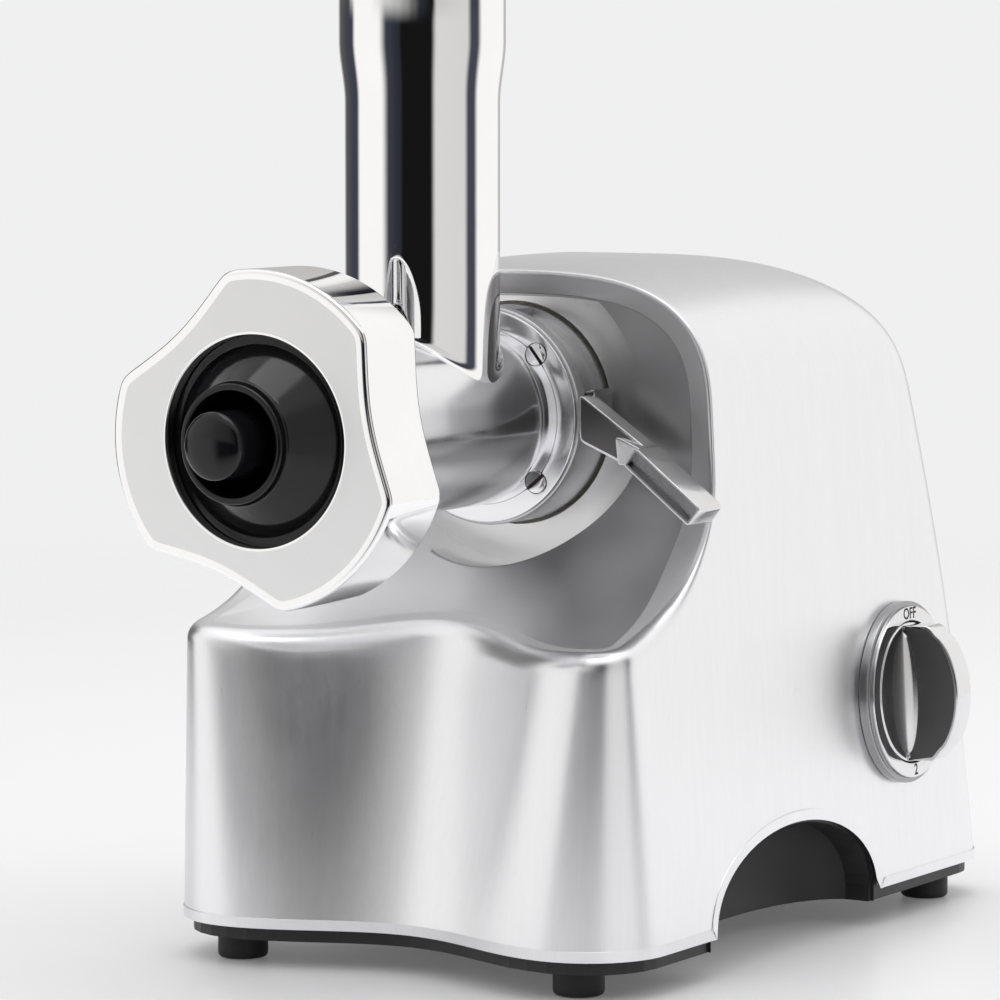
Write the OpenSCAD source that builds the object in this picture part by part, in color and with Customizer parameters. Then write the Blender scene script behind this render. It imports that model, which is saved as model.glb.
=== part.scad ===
// Electric meat grinder, millimetres. +Z is up, -Y is the outlet, +X is the switch side.
// The origin is on the table, right below the crossing of the feed tube and the barrel.

/* [Body] */
// Half width of the hood at its bottom edge
hood_half_w = 82; // [76:1:90]
// Height of the crown of the hood above the table
hood_top = 207.5; // [205:0.5:215]
// Height of the hood's bottom edge
hood_bottom = 13.2; // [11:0.2:16]
// Depth of the toe, from the feed tube's axis to its front corners
toe_reach = 25; // [20:1:34]
// Depth from the feed tube's axis to the back of the hood, at the bottom
back_reach = 220; // [215:1:240]
// Thickness of the stainless sheet
sheet = 2; // [1.5:0.1:2.4]
// Width of the vent panel in the back
vent_w = 92; // [70:1:100]

/* [Head] */
// Height of the auger's axis above the table
axis_z = 163.7; // [160:0.5:166]
// Outer radius of the barrel
barrel_r = 26.5; // [26:0.1:27]
// Inner radius of the barrel
bore_r = 23; // [22.5:0.1:23.4]
// Outer radius of the feed tube
tube_r = 22.8; // [22:0.1:24]
// Inner radius of the feed tube
throat_r = 19.8; // [18:0.1:20.5]
// Height of the feed tube's rim
tube_top = 300; // [290:1:320]
// Outer radius of the clamping nut
nut_r = 48.4; // [46:0.2:52]
// Radius of the outlet opening in the nut
outlet_r = 30; // [28:0.2:30.2]

/* [Kubbe attachment] */
// Outer radius of the shaping tube
shaper_r = 17; // [16:0.2:20]
// Wall of the shaping tube
shaper_wall = 2.1; // [1.5:0.1:3]
// Radius of the inner pin
pin_r = 9.6; // [8:0.1:10]

/* [Drive] */
// Across-flats size of the drive hexagon
hex_af = 14; // [12:0.5:15]
// Teeth of the output gear
out_teeth = 50; // [46:1:54]
// Teeth of the idler's pinion
idler_small = 11; // [11:1:13]
// Teeth of the idler's wheel
idler_big = 80; // [76:1:84]
// Teeth of the motor pinion
motor_teeth = 10; // [10:1:12]
// Radius of the rotor's core
rotor_r = 24; // [20:1:26]

/* [Lever and switch] */
// Angle of the release lever below the level
lever_drop = 38; // [34:1:42]
// Length of the lever's grip
grip_len = 25; // [22:1:28]
// Radius of the switch bezel
bezel_r = 28.7; // [27:0.1:32]
// How far the knob stands out of the side
knob_out = 22.5; // [18:0.5:26]

/* [Tray and feet] */
// Length of the hopper tray, side to side
tray_w = 210; // [180:2:240]
// Width of the hopper tray, front to back
tray_d = 128; // [110:2:150]
// Radius of a foot
foot_r = 7.6; // [7:0.1:9]

/* [Fits] */
// Radial clearance of turning parts
run_gap = 0.05; // [0.03:0.01:0.08]
// Gap between bodies that only pass each other
pass_gap = 0.3; // [0.25:0.05:0.4]

/* [Hidden] */
$fn = 64;

steel = [0.84, 0.84, 0.85];
polished = [0.9, 0.9, 0.91];
black = [0.07, 0.07, 0.08];
chrome = [0.8, 0.8, 0.82];
copper = [0.72, 0.38, 0.2];
nylon = [0.9, 0.88, 0.8];

// ---- The hood's outer form ----
// Level at which the side walls start to round over into the crown
shoulder_z = hood_top - 42.7;
// Plan point about which the crown closes
crown_y = 100;
rim_y = 42;
recess_y = 52;
seat_y = recess_y + 0.6;
seat_r = nut_r - 3;
toe_hollow_low = 15;
toe_hollow_high = 28;
back_corner_r = 20;
body_hole_r = 34.1;

// Share of the plan that is left at a height: 1 on the walls, 0 at the top
function crown(z) = let(u = max(0, min(1, (z - shoulder_z) / (hood_top - shoulder_z))))
    pow(max(0, 1 - pow(u, 3)), 1 / 3.18);
function wall_x(z) = hood_half_w - 0.055 * (z - hood_bottom);
function back_y(z) = back_reach - 0.078 * (z - hood_bottom) - 0.00087 * pow(z - hood_bottom, 2);
function toe_y(z) = -toe_reach + 0.06 * (z - hood_bottom);
function toe_corner(z) = max(10, 26 - 0.16 * (z - hood_bottom));
function toe_hollow(z) = toe_hollow_low + (toe_hollow_high - toe_hollow_low) * (z - hood_bottom) / 85;
// Front line of the toe: hollow in the middle, level at its corners
function front_y(x, z, d) = let(xc = wall_x(z) - toe_corner(z))
    toe_y(z) + d + toe_hollow(z) * (1 + cos(180 * x / xc)) / 2;

// Plan outline at a height, moved inwards by d, counter-clockwise from above
function plan(z, d) = let(w = wall_x(z), yb = back_y(z), rf = toe_corner(z), rb = back_corner_r,
        xc = w - rf, yf = toe_y(z))
    concat(
        [for (i = [-8:7]) let(x = xc * i / 8) [x, front_y(x, z, d)]],
        [for (a = [-90:15:-15]) [xc + (rf - d) * cos(a), yf + rf + (rf - d) * sin(a)]],
        [[w - d, yf + rf], [w - d, (yf + yb) / 2]],
        [for (a = [0:15:90]) [w - rb + (rb - d) * cos(a), yb - rb + (rb - d) * sin(a)]],
        [for (a = [90:15:180]) [rb - w + (rb - d) * cos(a), yb - rb + (rb - d) * sin(a)]],
        [[d - w, (yf + yb) / 2], [d - w, yf + rf]],
        [for (a = [195:15:255]) [-xc + (rf - d) * cos(a), yf + rf + (rf - d) * sin(a)]]);

// One level ring of the hood, with the crown's slight arch from front to back
function hood_ring(z, d) = let(k = crown(z + d), w = pow(max(0, (z - shoulder_z) / 42.7), 2))
    [for (p = plan(z, d)) let(x = p[0] * k, y = crown_y + (p[1] - crown_y) * k)
        [x, y, z + 3 * w * (1 - pow((y - 111) / 69, 2))]];

// Closed mesh through a stack of rings that have equal numbers of points; its first cap is a fan
// about the point low where one is given
module skin(rings, low = []) {
    n = len(rings[0]);
    m = len(rings);
    points = concat([for (r = rings) each r], low);
    sides = [for (j = [0:m - 2], i = [0:n - 1]) let(a = j * n + i, b = j * n + (i + 1) % n)
        each [[a, a + n, b + n], [a, b + n, b]]];
    first = len(low) > 0 ? [for (i = [0:n - 1]) [i, (i + 1) % n, n * m]] : [[for (i = [0:n - 1]) i]];
    last = [for (i = [n - 1:-1:0]) (m - 1) * n + i];
    polyhedron(points, concat(sides, first, [last]), convexity = 8);
}

crown_steps = [0, 0.25, 0.45, 0.62, 0.75, 0.85, 0.92, 0.97, 0.995];
// The hood as a solid block, moved inwards by d and continued below its edge by foot
module hood_block(d, foot) {
    walls = [for (i = [0:4]) hood_bottom + (shoulder_z - d - hood_bottom) * i / 5];
    top = [for (s = crown_steps) shoulder_z - d + (hood_top - shoulder_z) * s];
    edge = hood_ring(hood_bottom, d);
    skin(concat(foot > 0 ? [[for (p = edge) [p[0], p[1], hood_bottom - foot]]] : [],
                [for (z = concat(walls, top)) hood_ring(z, d)]), [[0, crown_y, hood_bottom - foot]]);
}

// ---- The scoop in the hood's front ----
function rim_curve(z) = -30 + (rim_y + 30) * sqrt(max(0, 1 - pow(max(0, 150 - z) / 50, 2)));
function recess_curve(z) = -30 + (recess_y + 30)
    * pow(max(0, 1 - pow(min(1, max(0, 152 - z) / 52), 1.8)), 1 / 1.8);
// Half width of the picture frame's outer (level 1) and inner (level 0.56) outline
function frame_x(z, level) = let(u = max(0, (z - shoulder_z) / 42.7))
    wall_x(z) * pow(max(0, level - pow(u, 3)), 1 / 3.18);
frame_level = 0.56;
// Dish of the scoop's lower part: its middle lies lower than its sides
function dish(x, z) = let(c = cos(90 * min(1, abs(x) / wall_x(z))))
    7 * c * c * max(0, min(1, (130 - z) / 25));
// Depth of the scoop's surface; d moves it into the material
function scoop_y(x, z, inner, d) = let(zz = z + d + dish(x, z))
    d + (inner <= 0 ? rim_curve(zz) : rim_curve(zz) + (recess_curve(zz) - rim_curve(zz)) * inner);

module scoop(d) {
    rows = [101, 102, 104, 107, 111, 116, 122, 129, 136, 143, 150, 160, 170, 180, 187, 193, 197,
            200.5, 203.5, 206, hood_top, hood_top + 12];
    sheetlike = [for (z = rows) let(zr = z - d, xo = frame_x(z, 1), xi = frame_x(z, frame_level),
            mid = max(0, min(1, (1 - pow(max(0, (z - shoulder_z) / 42.7), 3)) / (1 - frame_level))))
        concat([[-99, scoop_y(-99, zr, 0, d), zr], [-xo - 0.01, scoop_y(xo, zr, 0, d), zr]],
            [for (s = [-4:4]) let(x = (xi + 0.02) * s / 4) [x, scoop_y(x, zr, mid, d), zr]],
            [[xo + 0.01, scoop_y(xo, zr, 0, d), zr], [99, scoop_y(99, zr, 0, d), zr]])];
    front = -80;
    skin([for (r = sheetlike) concat([[r[len(r) - 1][0], front, r[0][2]]],
        [for (i = [len(r) - 1:-1:0]) r[i]], [[r[0][0], front, r[0][2]]])]);
}

// Round recess about the drive axis, with as many flat sides as it has ring points
module seat_recess(y1, r) skin([for (y = [-90, y1])
    [for (i = [0:71]) [r * sin(5 * i), y, axis_z + r * cos(5 * i)]]]);

// ---- Placing helpers ----
// A shape drawn in x and z, running from y0 to y1
module along_y(y0, y1) translate([0, y1, 0]) rotate([90, 0, 0]) linear_extrude(y1 - y0) children();
module rod(y0, y1, r, x = 0, z = axis_z)
    translate([x, y1, z]) rotate([90, 0, 0]) cylinder(h = y1 - y0, r = r);
module taper(y0, y1, r0, r1, z = axis_z)
    translate([0, y1, z]) rotate([90, 0, 0]) cylinder(h = y1 - y0, r1 = r1, r2 = r0);
module tube(y0, y1, ro, ri, x = 0, z = axis_z) difference() {
    rod(y0, y1, ro, x, z);
    rod(y0 - 1, y1 + 1, ri, x, z);
}
module post(z0, z1, r, x, y) translate([x, y, z0]) cylinder(h = z1 - z0, r = r);
module hex_prism(y0, y1, af) translate([0, y1, axis_z]) rotate([90, 0, 0])
    rotate(30) cylinder(h = y1 - y0, r = af / sqrt(3), $fn = 6);
module mirrored() {
    children();
    mirror([1, 0, 0]) children();
}

// ---- Gears ----
pressure = 24;
stub = 0.85;
backlash = 0.14;
module_out = 1.25;
module_motor = 0.8;
function inv(a) = tan(a) * 180 / PI - a;
// Tooth outline; tooth 0 points along +x before it is turned
function gear(m, n) = let(rp = m * n / 2, rb = rp * cos(pressure), ra = rp + stub * m,
        rr = rp - (stub + 0.2) * m, half = 90 / n - backlash * 90 / (PI * rp) + inv(pressure),
        edge = function(r) half - (r > rb ? inv(acos(rb / r)) : 0),
        rs = [rr, max(rr + 0.02, min(rb, rp) + 0.01), (rp + ra) / 2, ra])
    [for (i = [0:n - 1]) let(t = 360 * i / n) each concat(
        [for (r = rs) let(a = t - edge(r)) r * [cos(a), sin(a)]],
        [for (k = [3:-1:0]) let(a = t + edge(rs[k])) rs[k] * [cos(a), sin(a)]])];
cd_out = module_out * (out_teeth + idler_small) / 2;
cd_motor = module_motor * (idler_big + motor_teeth) / 2;
motor_drop = 70;
idler_drop = (cd_out * cd_out - cd_motor * cd_motor + motor_drop * motor_drop) / (2 * motor_drop);
idler_x = sqrt(cd_out * cd_out - idler_drop * idler_drop);
idler_z = axis_z - idler_drop;
motor_z = axis_z - motor_drop;
to_idler = atan2(-idler_drop, idler_x);
to_motor = atan2(motor_z - idler_z, -idler_x);
case_y = recess_y + 4.2;
case_wall = 4;
stage1_y = case_y + 10;
stage2_y = stage1_y + 14;
cover_y = stage2_y + 12;
module gear_solid(m, n, y0, y1, turn, x, z) translate([x, 0, z])
    along_y(y0, y1) rotate(turn) polygon(gear(m, n));

// ---- Base ----
pan_z = 8;
pan_gap = 0.8;
pan_rim = hood_bottom + 3.2 - pan_z;
arch_y = 84.5;
arch_a = 53;
arch_b = 28;
pocket_x = 52;
liner = 2;
foot_front = [59, -9];
foot_back = [68.5, 196];
boss_r = 6;
gear_post_x = 30;
gear_post_y = stage1_y + 5;
gear_lug_z = 84;
stator_half = 44;
core_y0 = cover_y + 22;
// Room behind the stator for the commutator, the end bracket and the back wall
motor_room = 67.8;
core_y1 = back_reach - motor_room;
mount_x = 28;
mount_h = 8;
mount_ys = [core_y0 + 7, core_y1 - 7];
function arch(grow, z0) = concat([[arch_y + arch_a + grow, z0]],
    [for (t = [0:7.5:180]) [arch_y + (arch_a + grow) * cos(t), hood_bottom + (arch_b + grow) * sin(t)]],
    [[arch_y - arch_a - grow, z0]]);
module along_x(x0, x1) translate([x0, 0, 0]) rotate([90, 0, 90]) linear_extrude(x1 - x0) children();

vent_z = 70;
vent_h = 56;
module at_vent() translate([0, back_y(vent_z), vent_z])
    rotate([atan(0.078 + 0.00174 * (vent_z - hood_bottom)), 0, 0]) children();
switch_y = 157.3;
switch_z = 71.9;
module at_switch()
    translate([wall_x(switch_z), switch_y, switch_z])
    rotate([0, 90 - atan(0.055), 0]) children();
shank_r = 12;
gland = [-48, 27];
gland_r = 6;

module hood() color(steel) difference() {
    hood_block(0, 0);
    scoop(0);
    seat_recess(seat_y, seat_r);
    difference() {
        hood_block(sheet, 1);
        scoop(sheet);
        seat_recess(seat_y + sheet, seat_r + sheet);
    }
    rod(seat_y - 2, seat_y + sheet + 1, body_hole_r);
    mirrored() along_x(pocket_x, 99) polygon(arch(pass_gap, pan_z));
    at_vent() cube([vent_w, 20, vent_h], center = true);
    at_switch() cylinder(h = 20, r = shank_r + pass_gap, center = true);
    rod(back_reach - 20, back_reach + 20, gland_r + pass_gap, gland[0], gland[1]);
}

module base_pan() color(black) difference() {
    union() {
        translate([0, 0, pan_z]) difference() {
            linear_extrude(pan_rim) polygon(plan(hood_bottom, sheet + pan_gap));
            translate([0, 0, 3]) linear_extrude(pan_rim) polygon(plan(hood_bottom, sheet + pan_gap + 2.5));
        }
        mirrored() {
            along_x(pocket_x - liner, hood_half_w - sheet - pan_gap) polygon(arch(0, pan_z));
            post(pan_z + 1, 19, boss_r, foot_front[0], foot_front[1]);
            post(pan_z + 1, 19, boss_r, foot_back[0], foot_back[1]);
            post(pan_z + 1, gear_lug_z, boss_r, gear_post_x, gear_post_y);
            for (y = mount_ys)
                post(pan_z + 1, motor_z - stator_half - mount_h, boss_r + 1, mount_x, y);
        }
    }
    mirrored() {
        along_x(pocket_x, 99) polygon(arch(-liner, pan_z - 1));
        for (f = [foot_front, foot_back])
            post(pan_z - 1, 17, foot_screw_r, f[0], f[1]);
        post(gear_lug_z - 14, gear_lug_z + 1, chassis_screw_r, gear_post_x, gear_post_y);
    }
}

foot_screw_r = 2;
foot_h = pan_z;
module feet() color(black) mirrored() for (f = [foot_front, foot_back]) translate([f[0], f[1], 0])
    difference() {
        union() {
            cylinder(h = 1.6, r1 = foot_r - 1, r2 = foot_r);
            translate([0, 0, 1.6]) cylinder(h = foot_h - 1.6, r = foot_r);
        }
        translate([0, 0, -1]) cylinder(h = foot_h + 2, r = foot_screw_r + run_gap);
        translate([0, 0, -1]) cylinder(h = 5, r = 4.2);
    }

module base_screws() color(chrome) mirrored() for (f = [foot_front, foot_back]) translate([f[0], f[1], 0]) {
    translate([0, 0, 1.8]) cylinder(h = 2.2, r = 3.9);
    translate([0, 0, 4]) cylinder(h = 12.5, r = foot_screw_r);
}

// ---- Gearbox ----
out_tip = module_out * (out_teeth / 2 + stub);
idler_tip = module_motor * (idler_big / 2 + stub);
case_room = 2;
case_side = 2.5;
journal_r = 8;
tail_r = 4.5;
idler_r = 3;
pinion_shaft_r = 2.9;
rotor_shaft_r = 4;
bush_wall = 3.5;
idler_bush_r = 5;
bearing_r = 9.5;
cover_t = 4;
bolt_x = 39.5;
bolt_r = 2;
spacer_r = 5;
chassis_screw_r = 2;
lug_r = 4;
lugs = [[-(out_tip + 3) * cos(35), axis_z + (out_tip + 3) * sin(35)],
        [(out_tip + 3) * cos(35), axis_z + (out_tip + 3) * sin(35)],
        [idler_x + (idler_tip + 3) * cos(-40), idler_z + (idler_tip + 3) * sin(-40)],
        [idler_x - (idler_tip + 3) * cos(20), idler_z - (idler_tip + 3) * sin(20)]];

module case_outline(grow) {
    translate([0, axis_z]) circle(out_tip + case_room + grow);
    translate([idler_x, idler_z]) circle(idler_tip + case_room + grow);
    translate([0, motor_z]) circle(bearing_r + 2 + grow);
}
module case_lugs() for (p = lugs) translate(p) circle(lug_r);

socket_head_r = 11;
ring_r = 33;
ring_front = 34.9;
module gearbox_case() color(nylon) difference() {
    union() {
        difference() {
            along_y(case_y, cover_y) {
                case_outline(case_side);
                case_lugs();
            }
            along_y(case_y + case_wall, cover_y + 1) case_outline(0);
        }
        rod(case_y, stage1_y - 0.6, journal_r + bush_wall + 2);
        rod(case_y, stage1_y - 0.8, idler_bush_r + 2.5, idler_x, idler_z);
        translate([-gear_post_x - boss_r, gear_post_y - boss_r, gear_lug_z])
            cube([2 * (gear_post_x + boss_r), 2 * boss_r, 5]);
    }
    rod(case_y - 1, stage1_y, journal_r + bush_wall);
    rod(case_y + 2, stage1_y, idler_bush_r, idler_x, idler_z);
    rod(case_y + case_wall + 0.1, cover_y + 1, bearing_r + 2, 0, motor_z);
    for (p = lugs) rod(cover_y - 12, cover_y + 1, cover_screw_r, p[0], p[1]);
    socket_screw_holes(case_y - 1, case_y + 5);
    mirrored() post(gear_lug_z - 1, gear_lug_z + 6, chassis_screw_r + run_gap, gear_post_x, gear_post_y);
}

cover_screw_r = 1.6;
socket_screw_r = 1;
socket_screw_at = ring_r - 1.7;
module socket_screw_holes(y0, y1) for (a = [90, 210, 330])
    rod(y0, y1, socket_screw_r, socket_screw_at * cos(a), axis_z + socket_screw_at * sin(a));
module gearbox_cover() color(nylon) difference() {
    union() {
        along_y(cover_y, cover_y + cover_t) {
            case_outline(case_side);
            case_lugs();
            translate([-bolt_x - spacer_r, motor_z - spacer_r])
                square([2 * (bolt_x + spacer_r), 2 * spacer_r]);
        }
        rod(cover_y, cover_y + 7, tail_r + bush_wall + 2);
        rod(cover_y, cover_y + 7, idler_bush_r + 2.5, idler_x, idler_z);
        rod(cover_y, cover_y + 9, bearing_r + 2, 0, motor_z);
        mirrored() rod(cover_y + 1, core_y0, spacer_r, bolt_x, motor_z);
    }
    rod(cover_y - 1, cover_y + 6, tail_r + bush_wall);
    rod(cover_y - 1, cover_y + 6, idler_bush_r, idler_x, idler_z);
    rod(cover_y - 1, cover_y + 3, rotor_shaft_r + 1, 0, motor_z);
    rod(cover_y + 2, cover_y + 10, bearing_r, 0, motor_z);
    mirrored() rod(cover_y + 5, core_y0 + 1, bolt_r, bolt_x, motor_z);
    for (p = lugs) rod(cover_y - 1, cover_y + cover_t + 1, cover_screw_r + run_gap, p[0], p[1]);
}

module cover_screws() color(chrome) for (p = lugs) {
    rod(cover_y + cover_t, cover_y + cover_t + 2.2, 3, p[0], p[1]);
    rod(cover_y - 11, cover_y + cover_t, cover_screw_r, p[0], p[1]);
}

module chassis_screws() color(chrome) mirrored() translate([gear_post_x, gear_post_y, gear_lug_z]) {
    translate([0, 0, 5]) cylinder(h = 2.4, r = 3.8);
    translate([0, 0, -12]) cylinder(h = 17, r = chassis_screw_r);
}

module output_bushes() color([0.7, 0.5, 0.25]) {
    tube(case_y, stage1_y - 0.6, journal_r + bush_wall, journal_r + run_gap);
    tube(cover_y - 0.5, cover_y + 6, tail_r + bush_wall, tail_r + run_gap);
}

module idler_bushes() color([0.7, 0.5, 0.25]) {
    tube(case_y + 2, stage1_y - 0.8, idler_bush_r, idler_r + run_gap, idler_x, idler_z);
    tube(cover_y - 0.5, cover_y + 6, idler_bush_r, idler_r + run_gap, idler_x, idler_z);
}

spigot_end = 40;
hex_y0 = spigot_end + 4;
hex_y1 = case_y - 3;
module output_shaft() color(steel) difference() {
    union() {
        rod(hex_y0 + 0.5, case_y - 0.2, socket_head_r);
        rod(case_y - 1, stage1_y + 12.5, journal_r);
        rod(stage1_y + 12, cover_y + 5.5, tail_r);
    }
    hex_prism(hex_y0 - 1, hex_y1 + 0.4, hex_af + 2 * pass_gap);
}

module output_gear() color(nylon) difference() {
    union() {
        gear_solid(module_out, out_teeth, stage1_y, stage1_y + 12, to_idler, 0, axis_z);
        rod(stage1_y - 0.3, stage1_y + 12.3, journal_r + 4);
    }
    rod(stage1_y - 1, stage1_y + 13, journal_r);
    for (a = [0:60:300]) rod(stage1_y - 1, stage1_y + 13, 5, 21 * cos(a), axis_z + 21 * sin(a));
}

module idler_gear() color(nylon) difference() {
    union() {
        gear_solid(module_out, idler_small, stage1_y - 0.5, stage2_y, 180 + to_idler + 180 / idler_small,
                   idler_x, idler_z);
        gear_solid(module_motor, idler_big, stage2_y, stage2_y + 8, to_motor, idler_x, idler_z);
    }
    rod(stage1_y - 2, stage2_y + 9, idler_r, idler_x, idler_z);
}

module idler_shaft() color(steel) rod(case_y + 2.3, cover_y + 5.7, idler_r, idler_x, idler_z);

// ---- Motor ----
motor_end_y = core_y1 + 30;
bearing_w = 6;
coil_in = 27;
coil_out = 34;
commutator_r = 12;
commutator_y = core_y1 + 12;
function sector(r0, r1, a0, a1) = concat(
    [for (i = [0:12]) let(a = a0 + (a1 - a0) * i / 12) r1 * [cos(a), sin(a)]],
    [for (i = [12:-1:0]) let(a = a0 + (a1 - a0) * i / 12) r0 * [cos(a), sin(a)]]);
module at_motor(y0, y1) translate([0, 0, motor_z]) along_y(y0, y1) children();

module rotor_shaft() color(steel) {
    gear_solid(module_motor, motor_teeth, stage2_y - 0.5, stage2_y + 8.5,
               180 + to_motor + 180 / motor_teeth, 0, motor_z);
    rod(stage2_y + 8, cover_y + 2.5, pinion_shaft_r, 0, motor_z);
    rod(cover_y + 2.3, motor_end_y + bearing_w + 1, rotor_shaft_r, 0, motor_z);
}

module rotor_core() color([0.45, 0.45, 0.47]) difference() {
    rod(core_y0, core_y1, rotor_r, 0, motor_z);
    rod(core_y0 - 1, core_y1 + 1, rotor_shaft_r, 0, motor_z);
    at_motor(core_y0 - 1, core_y1 + 1) for (a = [0:30:330]) rotate(a)
        translate([rotor_r - 6, -1.2]) square([9, 2.4]);
}

module rotor_winding() color(copper) {
    tube(core_y0 - 4, core_y0, rotor_r - 4, rotor_shaft_r, 0, motor_z);
    tube(core_y1, core_y1 + 8, rotor_r - 5, rotor_shaft_r, 0, motor_z);
}

module commutator() color(copper) difference() {
    rod(commutator_y, commutator_y + 12, commutator_r, 0, motor_z);
    rod(commutator_y - 1, commutator_y + 13, rotor_shaft_r, 0, motor_z);
    at_motor(commutator_y - 1, commutator_y + 11) for (a = [0:15:345]) rotate(a)
        translate([commutator_r - 1.2, -0.3]) square([2, 0.6]);
}

fan_y = cover_y + 9.6;
module fan() color(black) difference() {
    union() {
        rod(fan_y, fan_y + 1.6, rotor_r + 6, 0, motor_z);
        rod(fan_y, fan_y + 6, 8, 0, motor_z);
        at_motor(fan_y, fan_y + 5.5) for (a = [0:30:330]) rotate(a)
            translate([7, -0.6]) square([rotor_r - 2, 1.2]);
    }
    rod(fan_y - 1, fan_y + 7, rotor_shaft_r, 0, motor_z);
}

module stator() color([0.5, 0.5, 0.52]) difference() {
    at_motor(core_y0, core_y1) difference() {
        intersection() {
            square(2 * stator_half, center = true);
            circle(stator_half * 1.22);
        }
        circle(rotor_r + 0.6);
        for (s = [0, 180]) rotate(s) polygon(sector(rotor_r, coil_out + 1.5, -42, 42));
    }
    mirrored() rod(core_y0 - 1, core_y1 + 1, bolt_r + run_gap, bolt_x, motor_z);
}

module field_coils() color(copper) for (s = [0, 180]) translate([0, 0, motor_z]) rotate([0, s, 0]) {
    mirrored() along_y(core_y0 - 5, core_y1 + 5) polygon(sector(coil_in, coil_out, 6, 38));
    along_y(core_y0 - 5, core_y0 - 0.3) polygon(sector(coil_in, coil_out, 30, 150));
    along_y(core_y1 + 0.3, core_y1 + 5) polygon(sector(coil_in, coil_out, 30, 150));
}

module motor_bearings() color(chrome) {
    tube(cover_y + 2, cover_y + 2 + bearing_w, bearing_r, rotor_shaft_r + run_gap, 0, motor_z);
    tube(motor_end_y, motor_end_y + bearing_w, bearing_r, rotor_shaft_r + run_gap, 0, motor_z);
}

module motor_end_bracket() color([0.6, 0.6, 0.62]) difference() {
    union() {
        translate([-bolt_x - spacer_r, motor_end_y, motor_z - 9]) cube([2 * (bolt_x + spacer_r), 4, 18]);
        rod(motor_end_y, motor_end_y + 8, bearing_r + 2, 0, motor_z);
        mirrored() rod(core_y1, motor_end_y + 1, spacer_r, bolt_x, motor_z);
        mirrored() translate([commutator_r + 10, commutator_y, motor_z - 9])
            cube([3, motor_end_y - commutator_y + 1, 18]);
    }
    rod(motor_end_y - 1, motor_end_y + bearing_w, bearing_r, 0, motor_z);
    rod(motor_end_y + 5, motor_end_y + 9, rotor_shaft_r + 1.5, 0, motor_z);
    mirrored() rod(core_y1 - 1, motor_end_y + 5, bolt_r + run_gap, bolt_x, motor_z);
    mirrored() translate([commutator_r, commutator_y + 2.4, motor_z - 3.6]) cube([20, 7.2, 7.2]);
}

brush = 6;
module brushes() color([0.2, 0.2, 0.2]) mirrored()
    translate([commutator_r + 0.1, commutator_y + 6 - brush / 2, motor_z - brush / 2])
        cube([16, brush, brush]);

module brush_holders() color([0.8, 0.65, 0.3]) mirrored() difference() {
    translate([commutator_r + 3, commutator_y + 2.4, motor_z - 3.6]) cube([18, 7.2, 7.2]);
    translate([commutator_r, commutator_y + 6 - brush / 2, motor_z - brush / 2]) cube([19, brush, brush]);
}

module motor_bolts() color(chrome) mirrored() {
    rod(cover_y + 6, motor_end_y + 4, bolt_r, bolt_x, motor_z);
    rod(motor_end_y + 4, motor_end_y + 7, bolt_r * 2, bolt_x, motor_z);
}

module motor_mounts() color(black) mirrored() for (y = mount_ys)
    post(motor_z - stator_half - mount_h, motor_z - stator_half, boss_r, mount_x, y);

// ---- Head ----
nut_y0 = -88.4;
nut_y1 = -62;
nut_lip = 3.8;
cup_r = outlet_r + 4.2;
plate_r = outlet_r + 0.9;
cup_y0 = nut_y0 + nut_lip + 0.4;
plate_t = 4;
plug_t = 4;
cup_floor = cup_y0 + plate_t + plug_t + 0.3;
bore_end = 34;
bayonet_y = 32.3;
bayonet_front_r = 32.3;
skirt_r = 29.4;
screw_r = 3.6;
screw_ring_r = 27;
tray_seat = 15;
collar_r = tube_r + 1.7;
neck_r = collar_r - 2.2;

module head_casting() color(polished) difference() {
    union() {
        rod(cup_y0, nut_y1 - 2, cup_r);
        taper(nut_y1 - 2, nut_y1 + 3, cup_r, barrel_r);
        rod(nut_y1, spigot_end, barrel_r);
        post(axis_z, tube_top - 34, tube_r, 0, 0);
        translate([0, 0, tube_top - 34]) cylinder(h = 9, r1 = tube_r, r2 = collar_r);
        post(tube_top - 25, tube_top, collar_r, 0, 0);
    }
    rod(cup_y0 - 1, cup_floor, plate_r + 0.3);
    rod(cup_floor - 1, bore_end, bore_r);
    rod(bore_end - 1, spigot_end + 1, hex_journal_r + run_gap);
    post(axis_z, tube_top + 1, throat_r, 0, 0);
    post(tube_top - tray_seat, tube_top + 1, neck_r, 0, 0);
    screw_holes();
}

hex_journal_r = 12;
head_t = 2;
shank = 1.9;
module screw_holes() for (a = [45:90:315])
    translate([screw_ring_r * cos(a), 0, axis_z + screw_ring_r * sin(a)]) {
        rod(bayonet_y - 1, bayonet_y + head_t, screw_r, 0, 0);
        rod(bayonet_y, spigot_end - 1, shank, 0, 0);
    }

module bayonet_ring() color(polished) difference() {
    union() {
        rod(bayonet_y, ring_front - pass_gap, bayonet_front_r);
        rod(ring_front - 1, case_y - 4, skirt_r);
    }
    rod(bayonet_y - 1, case_y, barrel_r + run_gap);
    screw_holes();
}

module ring_screws() color(chrome) for (a = [45:90:315])
    translate([screw_ring_r * cos(a), 0, axis_z + screw_ring_r * sin(a)]) difference() {
        union() {
            rod(bayonet_y + 0.4, bayonet_y + head_t, screw_r, 0, 0);
            rod(bayonet_y + 1, spigot_end - 1.5, shank, 0, 0);
        }
        along_y(bayonet_y, bayonet_y + 1.6) rotate(a + 30) square([2 * screw_r + 1, 0.9], center = true);
    }

// ---- Screw, coupler and front journal ----
auger_y0 = cup_floor + 1.6;
auger_y1 = bore_end - pass_gap;
auger_core_r = 9;
auger_pitch = 27;
flight_r = bore_r - pass_gap;
flight_t = 4.5;
auger_pin_r = 5;
coupler_depth = 14;
flight_steps = 20;
flight_y0 = auger_y0 + 3;
flight_y1 = auger_y1 - flight_t - 3;
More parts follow.
